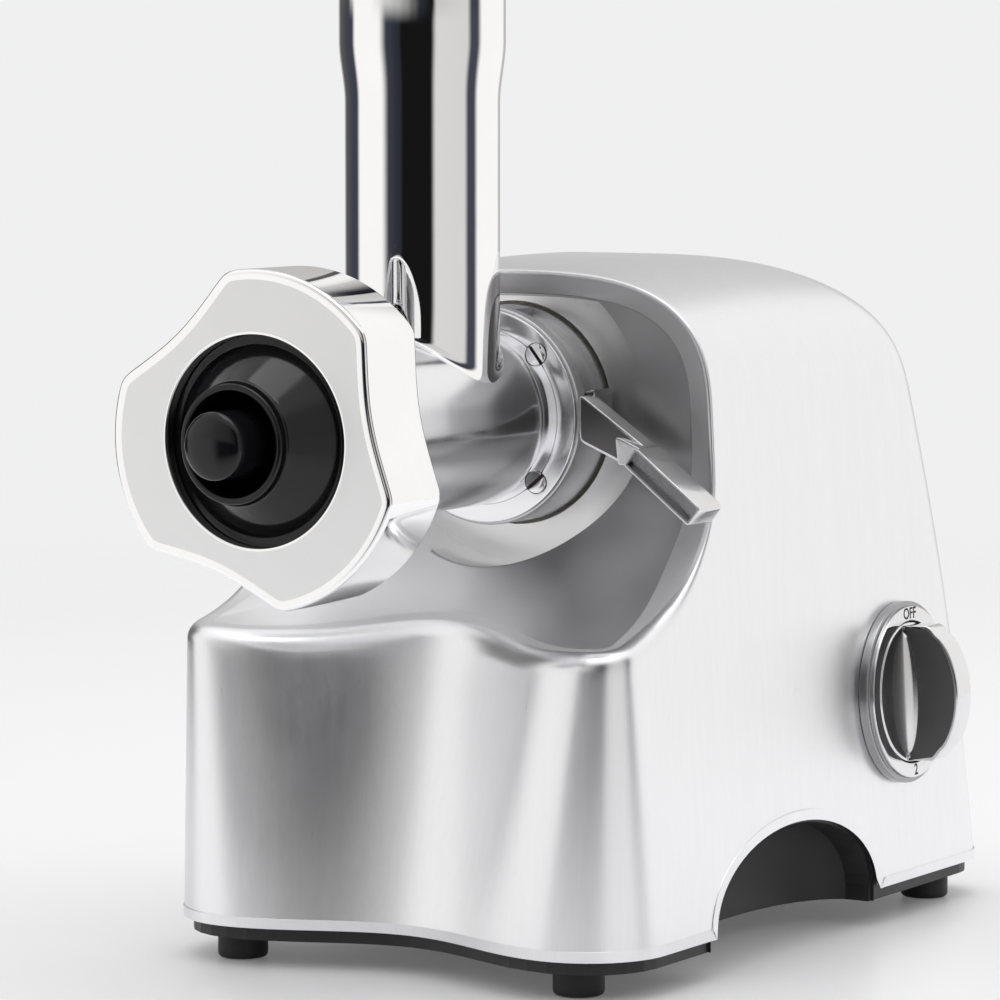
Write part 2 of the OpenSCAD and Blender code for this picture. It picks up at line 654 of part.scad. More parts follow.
// One cross-section of the flight, from inside the core to its edge, standing on the helix
module flight() {
    turns = (flight_y1 - flight_y0) / auger_pitch;
    n = ceil(turns * flight_steps);
    rings = [for (i = [0:n]) let(a = 360 * turns * i / n, y = flight_y0 + auger_pitch * turns * i / n,
            c = cos(a), s = sin(a), r0 = auger_core_r - 1, t = flight_t)
        [[r0 * c, y, r0 * s], [flight_r * c, y + t * 0.25, flight_r * s],
         [flight_r * c, y + t * 0.75, flight_r * s], [r0 * c, y + t, r0 * s]]];
    translate([0, 0, axis_z]) skin(rings);
}

module auger() color([0.75, 0.76, 0.78]) difference() {
    union() {
        rod(auger_y0, auger_y1, auger_core_r);
        rod(auger_y1 - 3, auger_y1, hex_journal_r);
        flight();
    }
    rod(auger_y0 - 1, auger_y0 + 14, auger_pin_r);
    rod(auger_y1 - coupler_depth, auger_y1 + 1, auger_pin_r + 1);
}

module auger_coupler() color(black) {
    rod(auger_y1 - coupler_depth, auger_y1, auger_pin_r + 1);
    rod(auger_y1, hex_y0, hex_journal_r);
    hex_prism(hex_y0 - 0.5, hex_y1, hex_af);
}

pin_depth = 12;
module auger_pin() color(chrome) rod(auger_y0 - pin_depth, auger_y0 + 14, auger_pin_r);

// ---- Clamping nut ----
lobe_half = 31;
lobe_at = 70.9;
scallop = 2.6;
// Three lobes joined by shallow hollow arcs
function nut_outline(r) = let(gap = 120 - 2 * lobe_half)
    [for (k = [0:2]) let(a0 = lobe_at + 120 * k) each concat(
        [for (i = [-8:8]) let(a = a0 + lobe_half * i / 8) r * [cos(a), sin(a)]],
        let(p = r * [cos(a0 + lobe_half), sin(a0 + lobe_half)],
            q = r * [cos(a0 + 120 - lobe_half), sin(a0 + 120 - lobe_half)], m = (p + q) / norm(p + q))
        [for (i = [1:9]) let(t = i / 10) p + (q - p) * t - m * scallop * 4 * t * (1 - t)])];
nut_bevel = 3;
module nut() color(polished) difference() {
    translate([0, 0, axis_z])
        skin([for (s = [[nut_y1, nut_r], [nut_y0 + nut_bevel, nut_r], [nut_y0, nut_r - nut_bevel]])
            [for (p = nut_outline(s[1])) [p[0], s[0], p[1]]]]);
    rod(nut_y0 - 1, nut_y1 + 1, outlet_r);
    rod(nut_y0 + nut_lip, nut_y1 + 1, cup_r + run_gap);
}

// ---- Kubbe attachment ----
shaper_hole_r = shaper_r - shaper_wall;
shaper_front = nut_y0 - 11.6;
shaper_y0 = cup_y0 - 0.1;
lip_r = outlet_r - 2.7;
module kubbe_shaper() color(black) difference() {
    union() {
        rod(shaper_y0, shaper_y0 + plate_t, plate_r);
        taper(shaper_front + 3.5, shaper_y0, shaper_r, lip_r);
        rod(shaper_front, shaper_front + 4, shaper_r);
    }
    rod(shaper_front - 1, shaper_y0 + plate_t + 1, shaper_hole_r);
    taper(shaper_front + 6, shaper_y0 + plate_t + 0.01, shaper_hole_r, lip_r - 2.5);
    rod(shaper_y0 - 1, shaper_y0 + plate_t + 1, 1.4, 0, axis_z - outlet_r + 1);
}

cone_y0 = shaper_y0 + plate_t;
// Six holes let the meat through the cone's flange
paste_hole_r = 5.4;
paste_at = 21;
pin_front = shaper_front - 8;
pin_dome = 3;
module kubbe_cone() color(black) difference() {
    union() {
        rod(cone_y0 + 0.1, cone_y0 + plug_t, plate_r);
        taper(cone_y0 - 14, cone_y0 + 0.2, pin_r, pin_r + 2);
        rod(pin_front, cone_y0 - 13, pin_r);
        translate([0, pin_front, axis_z]) rotate([90, 0, 0]) rotate_extrude()
            polygon(concat([[0, -0.5]],
                [for (a = [0:15:90]) [pin_r * sin(a), pin_dome * cos(a) - 0.01]], [[pin_r, -0.5]]));
    }
    for (a = [30:60:330])
        rod(cone_y0 - 1, cone_y0 + plug_t + 1, paste_hole_r, paste_at * cos(a), axis_z + paste_at * sin(a));
    rod(auger_y0 - pin_depth - 1, auger_y0 + 1, auger_pin_r + run_gap);
}

// ---- Bayonet socket and lever ----
lock_in = skirt_r + pass_gap;
lock_out = lock_in + 1.5;
slot_y0 = 39.5;
slot_y1 = 50.5;
lever_travel = 60;
root_low = -11;
root_high = 14;
module wedge(y0, y1, a0, a1) translate([0, 0, axis_z]) along_y(y0, y1)
    polygon(concat([[0, 0]], [for (i = [0:12]) let(a = a0 + (a1 - a0) * i / 12) 60 * [cos(a), sin(a)]]));
module socket_ring() color([0.35, 0.35, 0.37]) difference() {
    rod(ring_front, case_y, ring_r);
    rod(ring_front - 1, case_y + 1, lock_in);
    rod(slot_y0 - 1.5, case_y + 1, lock_out + pass_gap / 2);
    wedge(slot_y0, slot_y1, root_low - 3, root_high + lever_travel + 3);
    socket_screw_holes(case_y - 6, case_y + 1);
}

module lock_ring() color(steel) tube(slot_y0 - 1.3, case_y - 0.2, lock_out, lock_in);

elbow = [54, -10];
grip_h = 6.8;
grip_y0 = 24.5;
grip_y1 = 38;
grip_wall = 1.4;
arm_y0 = 34;
// The lever in its rest place, in x and z about the barrel's axis
module release_lever() color(chrome) difference() {
    union() {
        intersection() {
            wedge(slot_y0 + 0.6, slot_y1 - 0.6, root_low, root_high);
            rod(slot_y0, slot_y1, ring_r + 3);
        }
        translate([0, 0, axis_z]) along_y(arm_y0, grip_y1 + 3.4)
            polygon([[ring_r + 0.4, 8], [ring_r + 0.4, -6.4], elbow + [-4, -3.2],
                     elbow + [2, -1.5], elbow + [2.5, 2.5]]);
        translate([0, 0, axis_z]) along_y(grip_y1 - 8, arm_y0 + 2)
            polygon([elbow + [-5, -2.6], elbow + [1, -2.5], elbow + [3, 2.2], elbow + [-6, 6.2]]);
        at_grip() translate([-4, grip_y0, -grip_h / 2]) cube([grip_len + 4, grip_y1 - grip_y0, grip_h]);
    }
    rod(0, 60, lock_out + 0.02);
    at_grip() translate([grip_wall - 4, grip_y0 - 1, grip_wall - grip_h / 2])
        cube([grip_len + 4 - 2 * grip_wall, 9, grip_h - 2 * grip_wall]);
}
module at_grip() translate([elbow[0] + 5, 0, axis_z + elbow[1] + 1]) rotate([0, lever_drop, 0]) children();

// ---- Switch ----
bezel_in = 22.5;
bezel_t = 4.5;
knob_r = bezel_in - pass_gap;
blade_t = 9.8;
module bezel() color(chrome) at_switch() difference() {
    union() {
        cylinder(h = 3, r = bezel_r);
        cylinder(h = bezel_t, r = bezel_r - 1.6);
        translate([0, 0, -8]) cylinder(h = 9, r = shank_r);
    }
    translate([0, 0, 1.5]) cylinder(h = bezel_t, r = bezel_in);
    translate([0, 0, -9]) cylinder(h = 20, r = spindle_r + run_gap);
}

spindle_r = 3;
module knob() color(chrome) at_switch() {
    translate([0, 0, 1.8]) cylinder(h = bezel_t - 2, r = knob_r);
    translate([0, 0, -12]) cylinder(h = 14.5, r = spindle_r);
    translate([0, blade_t / 2, bezel_t - 0.5]) rotate([90, 0, 0]) linear_extrude(blade_t)
        polygon([[-knob_r + 0.7, 0], [-knob_r + 0.7, 9], [-knob_r + 4, 12.5], [-10, knob_out - 6.3],
                 [0, knob_out - bezel_t + 0.5], [10, knob_out - 6.3], [knob_r - 4, 12.5],
                 [knob_r - 0.7, 9], [knob_r - 0.7, 0]]);
}

module switch_body() color([0.12, 0.12, 0.13]) at_switch() difference() {
    translate([-17, -15, -30]) cube([34, 30, 22]);
    translate([0, 0, -14]) cylinder(h = 10, r = spindle_r + run_gap);
}

board_x = -62;
board_y = 142;
board_z = 78;
module control_board() color([0.1, 0.35, 0.2]) difference() {
    translate([board_x, board_y - 30, board_z - 26]) cube([1.6, 60, 52]);
    standoff_places() cylinder(h = 10, r = 1.5, center = true);
}
module standoff_places() for (y = [-25, 25], z = [-21, 21])
    translate([board_x, board_y + y, board_z + z]) rotate([0, 90, 0]) children();
// Everything outside the inner face of the hood's left wall, with a small gap
module beyond_left_wall() {
    inside = function(z) 0.2 + sheet - wall_x(z);
    skin([for (z = [40, 120]) [[-99, 0, z], [inside(z), 0, z], [inside(z), 200, z], [-99, 200, z]]]);
}
module board_standoffs() color(nylon) difference() {
    union() {
        standoff_places() mirror([0, 0, 1]) cylinder(h = 20, r = 3.5);
        standoff_places() mirror([0, 0, 1]) translate([0, 0, -3]) cylinder(h = 4, r = 1.45);
    }
    beyond_left_wall();
}

slot_pitch = 4.6;
module vent_panel() color(black) at_vent() difference() {
    translate([0, -1.5, 0]) cube([vent_w - 2 * pass_gap, 3, vent_h - 2 * pass_gap], center = true);
    for (i = [-5:5]) translate([0, 0, i * slot_pitch]) cube([vent_w - 16, 20, 2], center = true);
}

module cable_gland() color(black) difference() {
    union() {
        rod(back_reach - 9, back_reach + 4, gland_r, gland[0], gland[1]);
        rod(back_reach - 0.4, back_reach + 2.5, gland_r + 3, gland[0], gland[1]);
    }
    rod(back_reach - 10, back_reach + 5, 3.6, gland[0], gland[1]);
}

// ---- Tray and pusher ----
tray_h = 30;
tray_wall = 1.8;
tray_corner = 26;
tray_y = -6;
module tray_shell(w0, d0, w1, d1, z0, z1) hull() for (p = [[w0, d0, z0], [w1, d1, z1]])
    for (x = [-1, 1], y = [-1, 1])
        translate([x * (p[0] / 2 - tray_corner), tray_y + y * (p[1] / 2 - tray_corner), p[2]])
            cylinder(h = 0.01, r = tray_corner, $fn = 32);
module hopper_tray() color(polished) difference() {
    union() {
        tray_shell(tray_w - 26, tray_d - 26, tray_w, tray_d, tube_top + pass_gap, tube_top + tray_h);
        post(tube_top - tray_seat + pass_gap, tube_top + 1, neck_r - pass_gap, 0, 0);
    }
    tray_shell(tray_w - 30, tray_d - 30, tray_w - 2 * tray_wall, tray_d - 2 * tray_wall,
               tube_top + tray_wall + pass_gap, tube_top + tray_h + 0.02);
    post(tube_top - tray_seat - 1, tube_top + 5, throat_r, 0, 0);
}

pusher_r = throat_r - 0.5;
pusher_z0 = axis_z + bore_r + 4;
pusher_top = tube_top + 26;
flange_z = tube_top + tray_wall + 2 * pass_gap;
module pusher() color(black) difference() {
    union() {
        post(pusher_z0, pusher_top, pusher_r, 0, 0);
        post(flange_z, flange_z + 3, pusher_r + 8, 0, 0);
        translate([0, 0, pusher_top - 4]) cylinder(h = 4, r = pusher_r + 3);
    }
    post(pusher_z0 + 3, pusher_top + 1, pusher_r - 2.4, 0, 0);
}

hood();
base_pan();
feet();
socket_ring();
gearbox_case();
gearbox_cover();
cover_screws();
chassis_screws();
output_bushes();
idler_bushes();
motor_bearings();
stator();
field_coils();
motor_end_bracket();
motor_bolts();
brush_holders();
brushes();
motor_mounts();
switch_body();
bezel();
control_board();
board_standoffs();
vent_panel();
cable_gland();
base_screws();
output_shaft();
output_gear();
idler_gear();
idler_shaft();
rotor_shaft();
rotor_core();
rotor_winding();
commutator();
fan();
head_casting();
bayonet_ring();
ring_screws();
auger();
auger_coupler();
auger_pin();
nut();
kubbe_shaper();
kubbe_cone();
lock_ring();
release_lever();
knob();
hopper_tray();
pusher();
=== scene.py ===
"""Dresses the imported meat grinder: fine surfaces, finishes, stage and camera around the CAD frame."""

import math

import bmesh
import bpy
import numpy as np
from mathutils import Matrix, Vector


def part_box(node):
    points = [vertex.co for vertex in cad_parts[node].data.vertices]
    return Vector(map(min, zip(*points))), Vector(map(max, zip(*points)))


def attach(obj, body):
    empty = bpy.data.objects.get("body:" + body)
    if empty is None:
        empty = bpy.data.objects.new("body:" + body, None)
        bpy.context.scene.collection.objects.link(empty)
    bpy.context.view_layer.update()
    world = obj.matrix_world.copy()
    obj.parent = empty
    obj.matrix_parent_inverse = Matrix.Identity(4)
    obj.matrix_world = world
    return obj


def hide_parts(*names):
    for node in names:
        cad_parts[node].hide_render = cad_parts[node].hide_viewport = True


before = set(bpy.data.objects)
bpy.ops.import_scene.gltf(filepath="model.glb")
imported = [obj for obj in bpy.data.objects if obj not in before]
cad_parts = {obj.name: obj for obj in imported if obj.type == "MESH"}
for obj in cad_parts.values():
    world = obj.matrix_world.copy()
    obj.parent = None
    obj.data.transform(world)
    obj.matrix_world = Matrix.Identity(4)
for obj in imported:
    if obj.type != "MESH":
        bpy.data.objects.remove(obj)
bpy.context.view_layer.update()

bl_info = {
    "name": "Meat grinder finish",
    "version": (1, 0, 0),
    "blender": (4, 5, 0),
    "location": "View3D > Sidebar > Grinder",
    "description": "Builds the visible surfaces, finishes, stage and camera of an electric meat grinder",
    "category": "Object",
}

MM = 0.001


def span(node):
    """Lowest and highest corner of a CAD node at rest, in millimetres."""
    low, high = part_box(node)
    return np.array(low) / MM, np.array(high) / MM


# ---- Places and sizes taken from the frame, in millimetres ----
HOOD_LOW, HOOD_HIGH = span("hood")
NUT_LOW, NUT_HIGH = span("nut")
HEAD_HIGH = span("head_casting")[1]
RING_LOW, RING_HIGH = span("bayonet_ring")
SOCKET_LOW, SOCKET_HIGH = span("socket_ring")
CONE_LOW, CONE_HIGH = span("kubbe_cone")
SHAPER_LOW, SHAPER_HIGH = span("kubbe_shaper")
TRAY_LOW, TRAY_HIGH = span("hopper_tray")
PUSHER_LOW, PUSHER_HIGH = span("pusher")
FEET_HIGH = span("feet")[1]
VENT_LOW, VENT_HIGH = span("vent_panel")
GLAND_LOW, GLAND_HIGH = span("cable_gland")

AXIS_Z = (SOCKET_LOW[2] + SOCKET_HIGH[2]) / 2
BOTTOM = HOOD_LOW[2]
HALF_W = HOOD_HIGH[0]
TOE = -HOOD_LOW[1]
BACK = HOOD_HIGH[1]
CROWN_RISE, CROWN_Y = 42.7, 100.0
SHOULDER = HOOD_HIGH[2] - 2.75 - CROWN_RISE


# ---- Plain number helpers ----
def ease(t):
    """Smooth step: 3t^2 - 2t^3 between 0 and 1, level at both ends."""
    t = np.clip(t, 0.0, 1.0)
    return t * t * (3 - 2 * t)


def mix(a, b, t):
    """Straight blend from a at t = 0 to b at t = 1."""
    return a + (b - a) * t


def unit(v):
    """Vectors scaled to length one."""
    return v / np.maximum(np.linalg.norm(v, axis=-1, keepdims=True), 1e-9)


def full_turn(count):
    """Even angles all the way round."""
    return np.linspace(0, 2 * np.pi, count, endpoint=False)


def points(*parts):
    """Points from their separate coordinates, each an array or a number."""
    return np.stack(np.broadcast_arrays(*parts), axis=-1)


def circle(r, a):
    """Flat points at a radius and an angle."""
    return points(r * np.cos(a), r * np.sin(a))


def path_run(line):
    """Distance run along a line of points, from its start to each point."""
    return np.concatenate([[0], np.cumsum(np.linalg.norm(np.diff(line, axis=0), axis=1))])


def bend(a, corner, b, count):
    """Quadratic curve from a to b that leaves both ends towards corner, as count + 1 rows."""
    t = np.linspace(0, 1, count + 1).reshape((-1,) + (1,) * np.ndim(a))
    return (1 - t) ** 2 * a + 2 * t * (1 - t) * corner + t ** 2 * b


def soften(corners, steps=4):
    """Profile through (radius, along, fillet) corners, each fillet a circular-looking curve that starts
    and ends at the fillet's length from its corner."""
    pts = np.array([c[:2] for c in corners], float)
    out = [pts[:1]]
    for before, p, after, corner in zip(pts, pts[1:], pts[2:], corners[1:]):
        back, on = before - p, after - p
        r = min(corner[2] if len(corner) > 2 else 0, 0.49 * np.linalg.norm(back), 0.49 * np.linalg.norm(on))
        out.append(bend(p + unit(back) * r, p, p + unit(on) * r, steps) if r > 0 else p[None])
    return np.concatenate(out + [pts[-1:]])


# ---- Mesh building ----
MATERIALS = {}


def new_piece(name, mesh, materials):
    """Puts a mesh into the scene under its name, with its finishes."""
    for material in materials:
        mesh.materials.append(material)
    piece = bpy.data.objects.new(name, mesh)
    bpy.context.scene.collection.objects.link(piece)
    return piece


def quad_middles(rows):
    """Middle of each quad of a grid that closes round."""
    low, high = rows[:-1], rows[1:]
    return (low + np.roll(low, -1, axis=1) + high + np.roll(high, -1, axis=1)) / 4


class Shell:
    """Collects grids of points and turns them into one mesh object."""

    def __init__(self):
        self.points, self.faces, self.slots, self.count = [], [], [], 0

    def grid(self, pts, wrap=False, keep=None, slot=0):
        """Adds an m by n grid of points as quads; wrap closes it round n, keep masks its quads."""
        pts = np.asarray(pts)
        m, n = pts.shape[:2]
        index = self.count + np.arange(m * n).reshape(m, n)
        if wrap:
            index = np.concatenate([index, index[:, :1]], axis=1)
        quads = np.stack([index[:-1, :-1], index[:-1, 1:], index[1:, 1:], index[1:, :-1]], axis=-1)
        quads = quads[keep] if keep is not None else quads.reshape(-1, 4)
        self.points.append(pts.reshape(-1, 3))
        self.faces.append(quads)
        self.slots.append(np.full(len(quads), slot))
        self.count += m * n
        return self

    def build(self, name, finishes, sharp=38, out=True):
        """Makes the piece with the named finishes: doubles merged, faces turned outwards by the sign
        of the volume, smooth shading with edges kept sharp past the given angle."""
        mesh = bpy.data.meshes.new(name)
        mesh.from_pydata(np.concatenate(self.points) * MM, [], np.concatenate(self.faces))
        mesh.polygons.foreach_set("material_index", np.concatenate(self.slots).astype(np.int32))
        work = bmesh.new()
        work.from_mesh(mesh)
        bmesh.ops.remove_doubles(work, verts=work.verts, dist=2e-6)
        bmesh.ops.dissolve_degenerate(work, edges=work.edges, dist=1e-7)
        if out:
            bmesh.ops.recalc_face_normals(work, faces=work.faces)
        if work.calc_volume(signed=True) < 0:
            bmesh.ops.reverse_faces(work, faces=work.faces)
        work.to_mesh(mesh)
        work.free()
        mesh.polygons.foreach_set("use_smooth", np.ones(len(mesh.polygons), bool))
        mesh.set_sharp_from_angle(angle=math.radians(sharp))
        return new_piece(name, mesh, [MATERIALS[finish] for finish in finishes])


def turned(profile, place, count=96):
    """Surface of revolution: each (radius, along) point goes round the local axis; place maps local
    (across, up, along) coordinates to the row frame."""
    a = full_turn(count)
    r, t = profile[:, 0, None], profile[:, 1, None]
    return place(r * np.cos(a), r * np.sin(a), np.broadcast_to(t, (len(profile), count)))


def on_drive(x, up, y):
    """Local frame about the drive axis: along is +Y."""
    return points(x, y, up + AXIS_Z)


def upright(flat, y):
    """Flat points about the drive axis, stood up at a depth."""
    return on_drive(flat[:, 0], flat[:, 1], y)


# ---- The hood's form ----
CORNER_BACK, EDGE_ROUND, CROWN_ROUND, LIP_ROUND = 20.0, 5.0, 2.6, 0.6
SIDE_POW = 1 / 3.18
# How far walls lean per millimetre of height, and the back's bow
WALL_LEAN, TOE_LEAN, BACK_LEAN, BACK_BOW = 0.055, 0.06, 0.078, 0.00087
# The toe's upright corners, which tighten upwards, and the hollow between them, which deepens
TOE_CORNER, TOE_CORNER_LEAST, TOE_TIGHTEN = 26.0, 10.0, 0.16
HOLLOW, HOLLOW_DEEPEN = 15.0, 13 / 85
# Scoop: its front end, then the rim's and the deep surface's upper ends and half axes
FRONT_Y = -30.0
RIM_Y, RIM_Z, RIM_A, RIM_B = 42.0, 150.0, 72.0, 50.0
DEEP_Y, DEEP_Z, DEEP_A, DEEP_B, DEEP_POW = 52.0, 152.0, 82.0, 52.0, 2 / 1.8
# The frame: its width along the toe, and the inner arch's share of the outer one's height and width
BAND, INNER_LEVEL = 8.0, 0.56
INNER_WIDTH = INNER_LEVEL ** SIDE_POW
SEAT_Y, SEAT_R, HOLE_R = DEEP_Y + 0.6, NUT_HIGH[2] - AXIS_Z - 3, SOCKET_HIGH[0] + 1.1
# Arch of the finger recess, the scoop's dish and the bow of the crown
ARCH_Y, ARCH_A, ARCH_B = 84.5, 53.0, 28.0
ARCH_FROM, ARCH_TO = ARCH_Y - ARCH_A, ARCH_Y + ARCH_A
DISH, DISH_TOP, DISH_FADE = 7.0, 130.0, 34.0
BOW_Y, BOW_REACH, BOW_RISE = 111.0, 69.0, 3.0


def wall_x(z):
    """Half width of the hood at a height: a straight taper."""
    return HALF_W - WALL_LEAN * (z - BOTTOM)


def back_y(z):
    """Back of the hood at a height: leaning and slightly bowed."""
    return BACK - BACK_LEAN * (z - BOTTOM) - BACK_BOW * (z - BOTTOM) ** 2


def toe_corner(z):
    """Radius of the toe's upright corners at a height."""
    return np.maximum(TOE_CORNER_LEAST, TOE_CORNER - TOE_TIGHTEN * (z - BOTTOM))


def toe_y(z):
    """Depth of the toe's front corners at a height."""
    return -TOE + TOE_LEAN * (z - BOTTOM)


def toe_front(x, z):
    """Front line of the toe: a raised cosine hollow between its corners, deeper higher up."""
    reach = wall_x(z) - toe_corner(z)
    hollow = HOLLOW + HOLLOW_DEEPEN * (z - BOTTOM)
    return toe_y(z) + hollow * (1 + np.cos(np.pi * np.clip(x / reach, -1, 1))) / 2


SCOOP_HALF = wall_x(100.0)


def dish(x):
    """Depth of the scoop's dish across its width: a squared cosine."""
    return DISH * np.cos(np.pi / 2 * np.clip(np.abs(x) / SCOOP_HALF, 0, 1)) ** 2


def sunk(x, level):
    """Height after the dish, which fades out below its top: found by repeating the formula until it
    settles."""
    z = level
    for _ in range(12):
        z = level - dish(x) * ease((DISH_TOP - z) / DISH_FADE)
    return z


def floor_z(x, y):
    """Height of the scoop's floor: a superellipse from front to back, dished in the middle, meeting
    the rim's own ellipse at the sides."""
    deep_share = np.clip((y - FRONT_Y) / DEEP_A, 0, 1)
    deep = DEEP_Z - DEEP_B * (1 - deep_share ** (2 / DEEP_POW)) ** (DEEP_POW / 2)
    rim = RIM_Z - RIM_B * np.sqrt(1 - np.clip((y - FRONT_Y) / RIM_A, 0, 1) ** 2)
    side = ease((np.abs(x) / SCOOP_HALF - 0.8) / 0.2)
    return sunk(x, mix(deep, rim, side))


def deep_curve(a):
    """Depth and height on the scoop's middle profile at an angle: a superellipse."""
    return FRONT_Y + DEEP_A * np.sin(a) ** DEEP_POW, DEEP_Z - DEEP_B * np.cos(a) ** DEEP_POW


DEEP_LINE = points(*deep_curve(np.linspace(0, np.pi / 2, 721)))
DEEP_RUN = path_run(DEEP_LINE)


def deep_point(x, run):
    """Point of the scoop's deep surface at a width and a distance run along its middle profile: up
    the superellipse, then straight up the flat recess."""
    y = np.interp(run, DEEP_RUN, DEEP_LINE[:, 0])
    level = np.interp(run, DEEP_RUN, DEEP_LINE[:, 1]) + np.maximum(0, run - DEEP_RUN[-1])
    return points(x, y, sunk(x, level))


def run_at(x, z):
    """Distance run along the profile at which the deep surface has a height, undoing the dish."""
    level = z + dish(x) * ease((DISH_TOP - z) / DISH_FADE)
    return np.interp(level, DEEP_LINE[:, 1], DEEP_RUN) + np.maximum(0, level - DEEP_Z)


def side_spots(edge, z):
    """Depths of the side columns where the lower and the rear body join: even up to the arch, by the
    arch's own angle over it, even again to the back corner."""
    over = ARCH_Y - ARCH_A * np.cos(np.linspace(0, np.pi, 45))
    front = np.linspace(edge, ARCH_FROM, 14)[:-1]
    rear = np.linspace(ARCH_TO, back_y(z) - CORNER_BACK, 18)[1:]
    return np.concatenate([front, over, rear])


def front_line(z, spots=90, corner=12):
    """Plan line of the toe at a height, from the end of its left corner to that of its right one."""
    z = np.broadcast_to(z, spots + 2 * corner + 1)
    left, middle, right = z[:corner], z[corner:corner + spots + 1], z[corner + spots + 1:]
    x = np.linspace(-1, 1, spots + 1) * (wall_x(middle) - toe_corner(middle))
    a = np.linspace(np.pi, 1.5 * np.pi, corner + 1)[:-1]
    arcs = []
    for side, level, turn in ((-1, left, a), (1, right, 3 * np.pi - a[::-1])):
        r = toe_corner(level)
        across = side * (wall_x(level) - r) + r * np.cos(turn)
        arcs.append(points(across, toe_y(level) + r * (1 + np.sin(turn))))
    return np.concatenate([arcs[0], points(x, toe_front(x, middle)), arcs[1]])


def rear_line(z, side_y, size, corner=10, back=50):
    """Plan line from the right front edge, back along the side, round the back and forward on the
    left, at a height z, or at one height per column. side_y gives the side columns' depths on the
    right and size scales the crown about its centre."""
    a = np.linspace(0, np.pi / 2, corner + 1)[1:-1]
    n, m = len(side_y), len(a)
    z = np.broadcast_to(z, 2 * n + 2 * m + back + 1)
    middle = np.full(back + 1, np.pi / 2)
    turn = np.concatenate([np.zeros(n), a, middle, np.pi - a[::-1], np.full(n, np.pi)])
    share = np.concatenate([np.ones(n + m), np.linspace(1, -1, back + 1), -np.ones(n + m)])
    x = (wall_x(z) - CORNER_BACK) * share + CORNER_BACK * np.cos(turn)
    y = back_y(z) - CORNER_BACK + CORNER_BACK * np.sin(turn)
    y[:n], y[-n:] = side_y, side_y[::-1]
    y = np.where(y > CROWN_Y, CROWN_Y + (y - CROWN_Y) * size, y)
    return points(x * size, y)


def corner_end(z):
    """Depth at which the toe's corner runs into the side wall."""
    return toe_y(z) + toe_corner(z)


def corner_join():
    """Height and depth of the point where the rim leaves the toe's corner, found by repeating the
    rim's ellipse and the corner's formula until they agree."""
    z = 102.0
    for _ in range(30):
        y = corner_end(z - EDGE_ROUND)
        z = RIM_Z - RIM_B * math.sqrt(1 - ((y - FRONT_Y) / RIM_A) ** 2)
    return z, y


def low_side(z, spots, split_z):
    """Depths of the side columns at their heights in the lower body: fixed over the arch, drawn
    towards the leaning corners in front of it and behind it."""
    start = spots[0] + corner_end(z) - corner_end(split_z)
    end = spots[-1] + back_y(z) - back_y(split_z)
    ahead = mix(start, ARCH_FROM, (spots - spots[0]) / (ARCH_FROM - spots[0]))
    behind = mix(ARCH_TO, end, (spots - ARCH_TO) / (spots[-1] - ARCH_TO))
    return np.where(spots < ARCH_FROM, ahead, np.where(spots > ARCH_TO, behind, spots))


def lower_row(z, spots, split_z, front_count):
    """One closed row of the lower body, each column at its own height z."""
    z_rear = np.concatenate([z[front_count - 1:], z[:1]])
    rear = rear_line(z_rear, low_side(z_rear[:len(spots)], spots, split_z), 1.0)
    return np.column_stack([np.concatenate([front_line(z[:front_count]), rear[1:-1]]), z])


def crown_rows(count):
    """Levels u and widths k of the crown's rows, even along the superellipse k^3.18 + u^3 = 1."""
    a, half = np.linspace(0, np.pi / 2, 2001), 75.0
    run = path_run(points(np.cos(a) ** (2 * SIDE_POW) * half, np.sin(a) ** (2 / 3) * CROWN_RISE))
    at = np.interp(np.linspace(0, run[-1], count + 1), run, a)[1:]
    return np.sin(at) ** (2 / 3), np.cos(at) ** (2 * SIDE_POW)


def rim_rows():
    """Rows of the rear body from the toe's corner to the crown's ridge. Each row has the sharp rim
    point, its inner crease point, the direction away from the rim over the outside, the crown's
    level and width, and the round's length there."""
    start_z, start_y = corner_join()
    start = math.asin((start_y - FRONT_Y) / RIM_A)
    phi = np.linspace(start, np.pi / 2, 34)
    turn = ease((phi - start) / math.radians(22))
    away = unit(points(0.0, np.sin(phi) / RIM_A * turn, -np.cos(phi) / RIM_B))
    z = RIM_Z - RIM_B * np.cos(phi)
    rim = points(wall_x(z), FRONT_Y + RIM_A * np.sin(phi), z)
    deep_y, deep_z = deep_curve(phi)
    narrow = mix(BAND, (1 - INNER_WIDTH) * wall_x(120), ease((phi - start) / 0.7))
    deep_x = wall_x(deep_z) - narrow
    deep = points(deep_x, deep_y, sunk(deep_x, deep_z))
    z = np.linspace(RIM_Z, SHOULDER, 7)[1:]
    plain = points(wall_x(z), RIM_Y, z)
    z_in = mix(DEEP_Z, SHOULDER, (z - RIM_Z) / (SHOULDER - RIM_Z))
    plain_in = points(wall_x(z) * INNER_WIDTH, DEEP_Y, z_in)
    u, k = crown_rows(40)
    z = SHOULDER + CROWN_RISE * u
    arch = points(wall_x(z) * k, RIM_Y, z)
    z_in = SHOULDER + CROWN_RISE * u * INNER_LEVEL ** (1 / 3)
    arch_in = points(wall_x(z_in) * k * INNER_WIDTH, DEEP_Y, z_in)
    rims = np.concatenate([rim, plain, arch])
    creases = np.concatenate([deep, plain_in, arch_in])
    below = len(rim) + len(plain)
    back = np.tile([0.0, 1.0, 0.0], (len(plain) + len(arch), 1))
    rounds = mix(EDGE_ROUND, CROWN_ROUND, ease((rims[:, 2] - start_z) / 25))
    levels, sizes = np.concatenate([np.zeros(below), u]), np.concatenate([np.ones(below), k])
    return rims, creases, np.concatenate([away, back]), levels, sizes, rounds


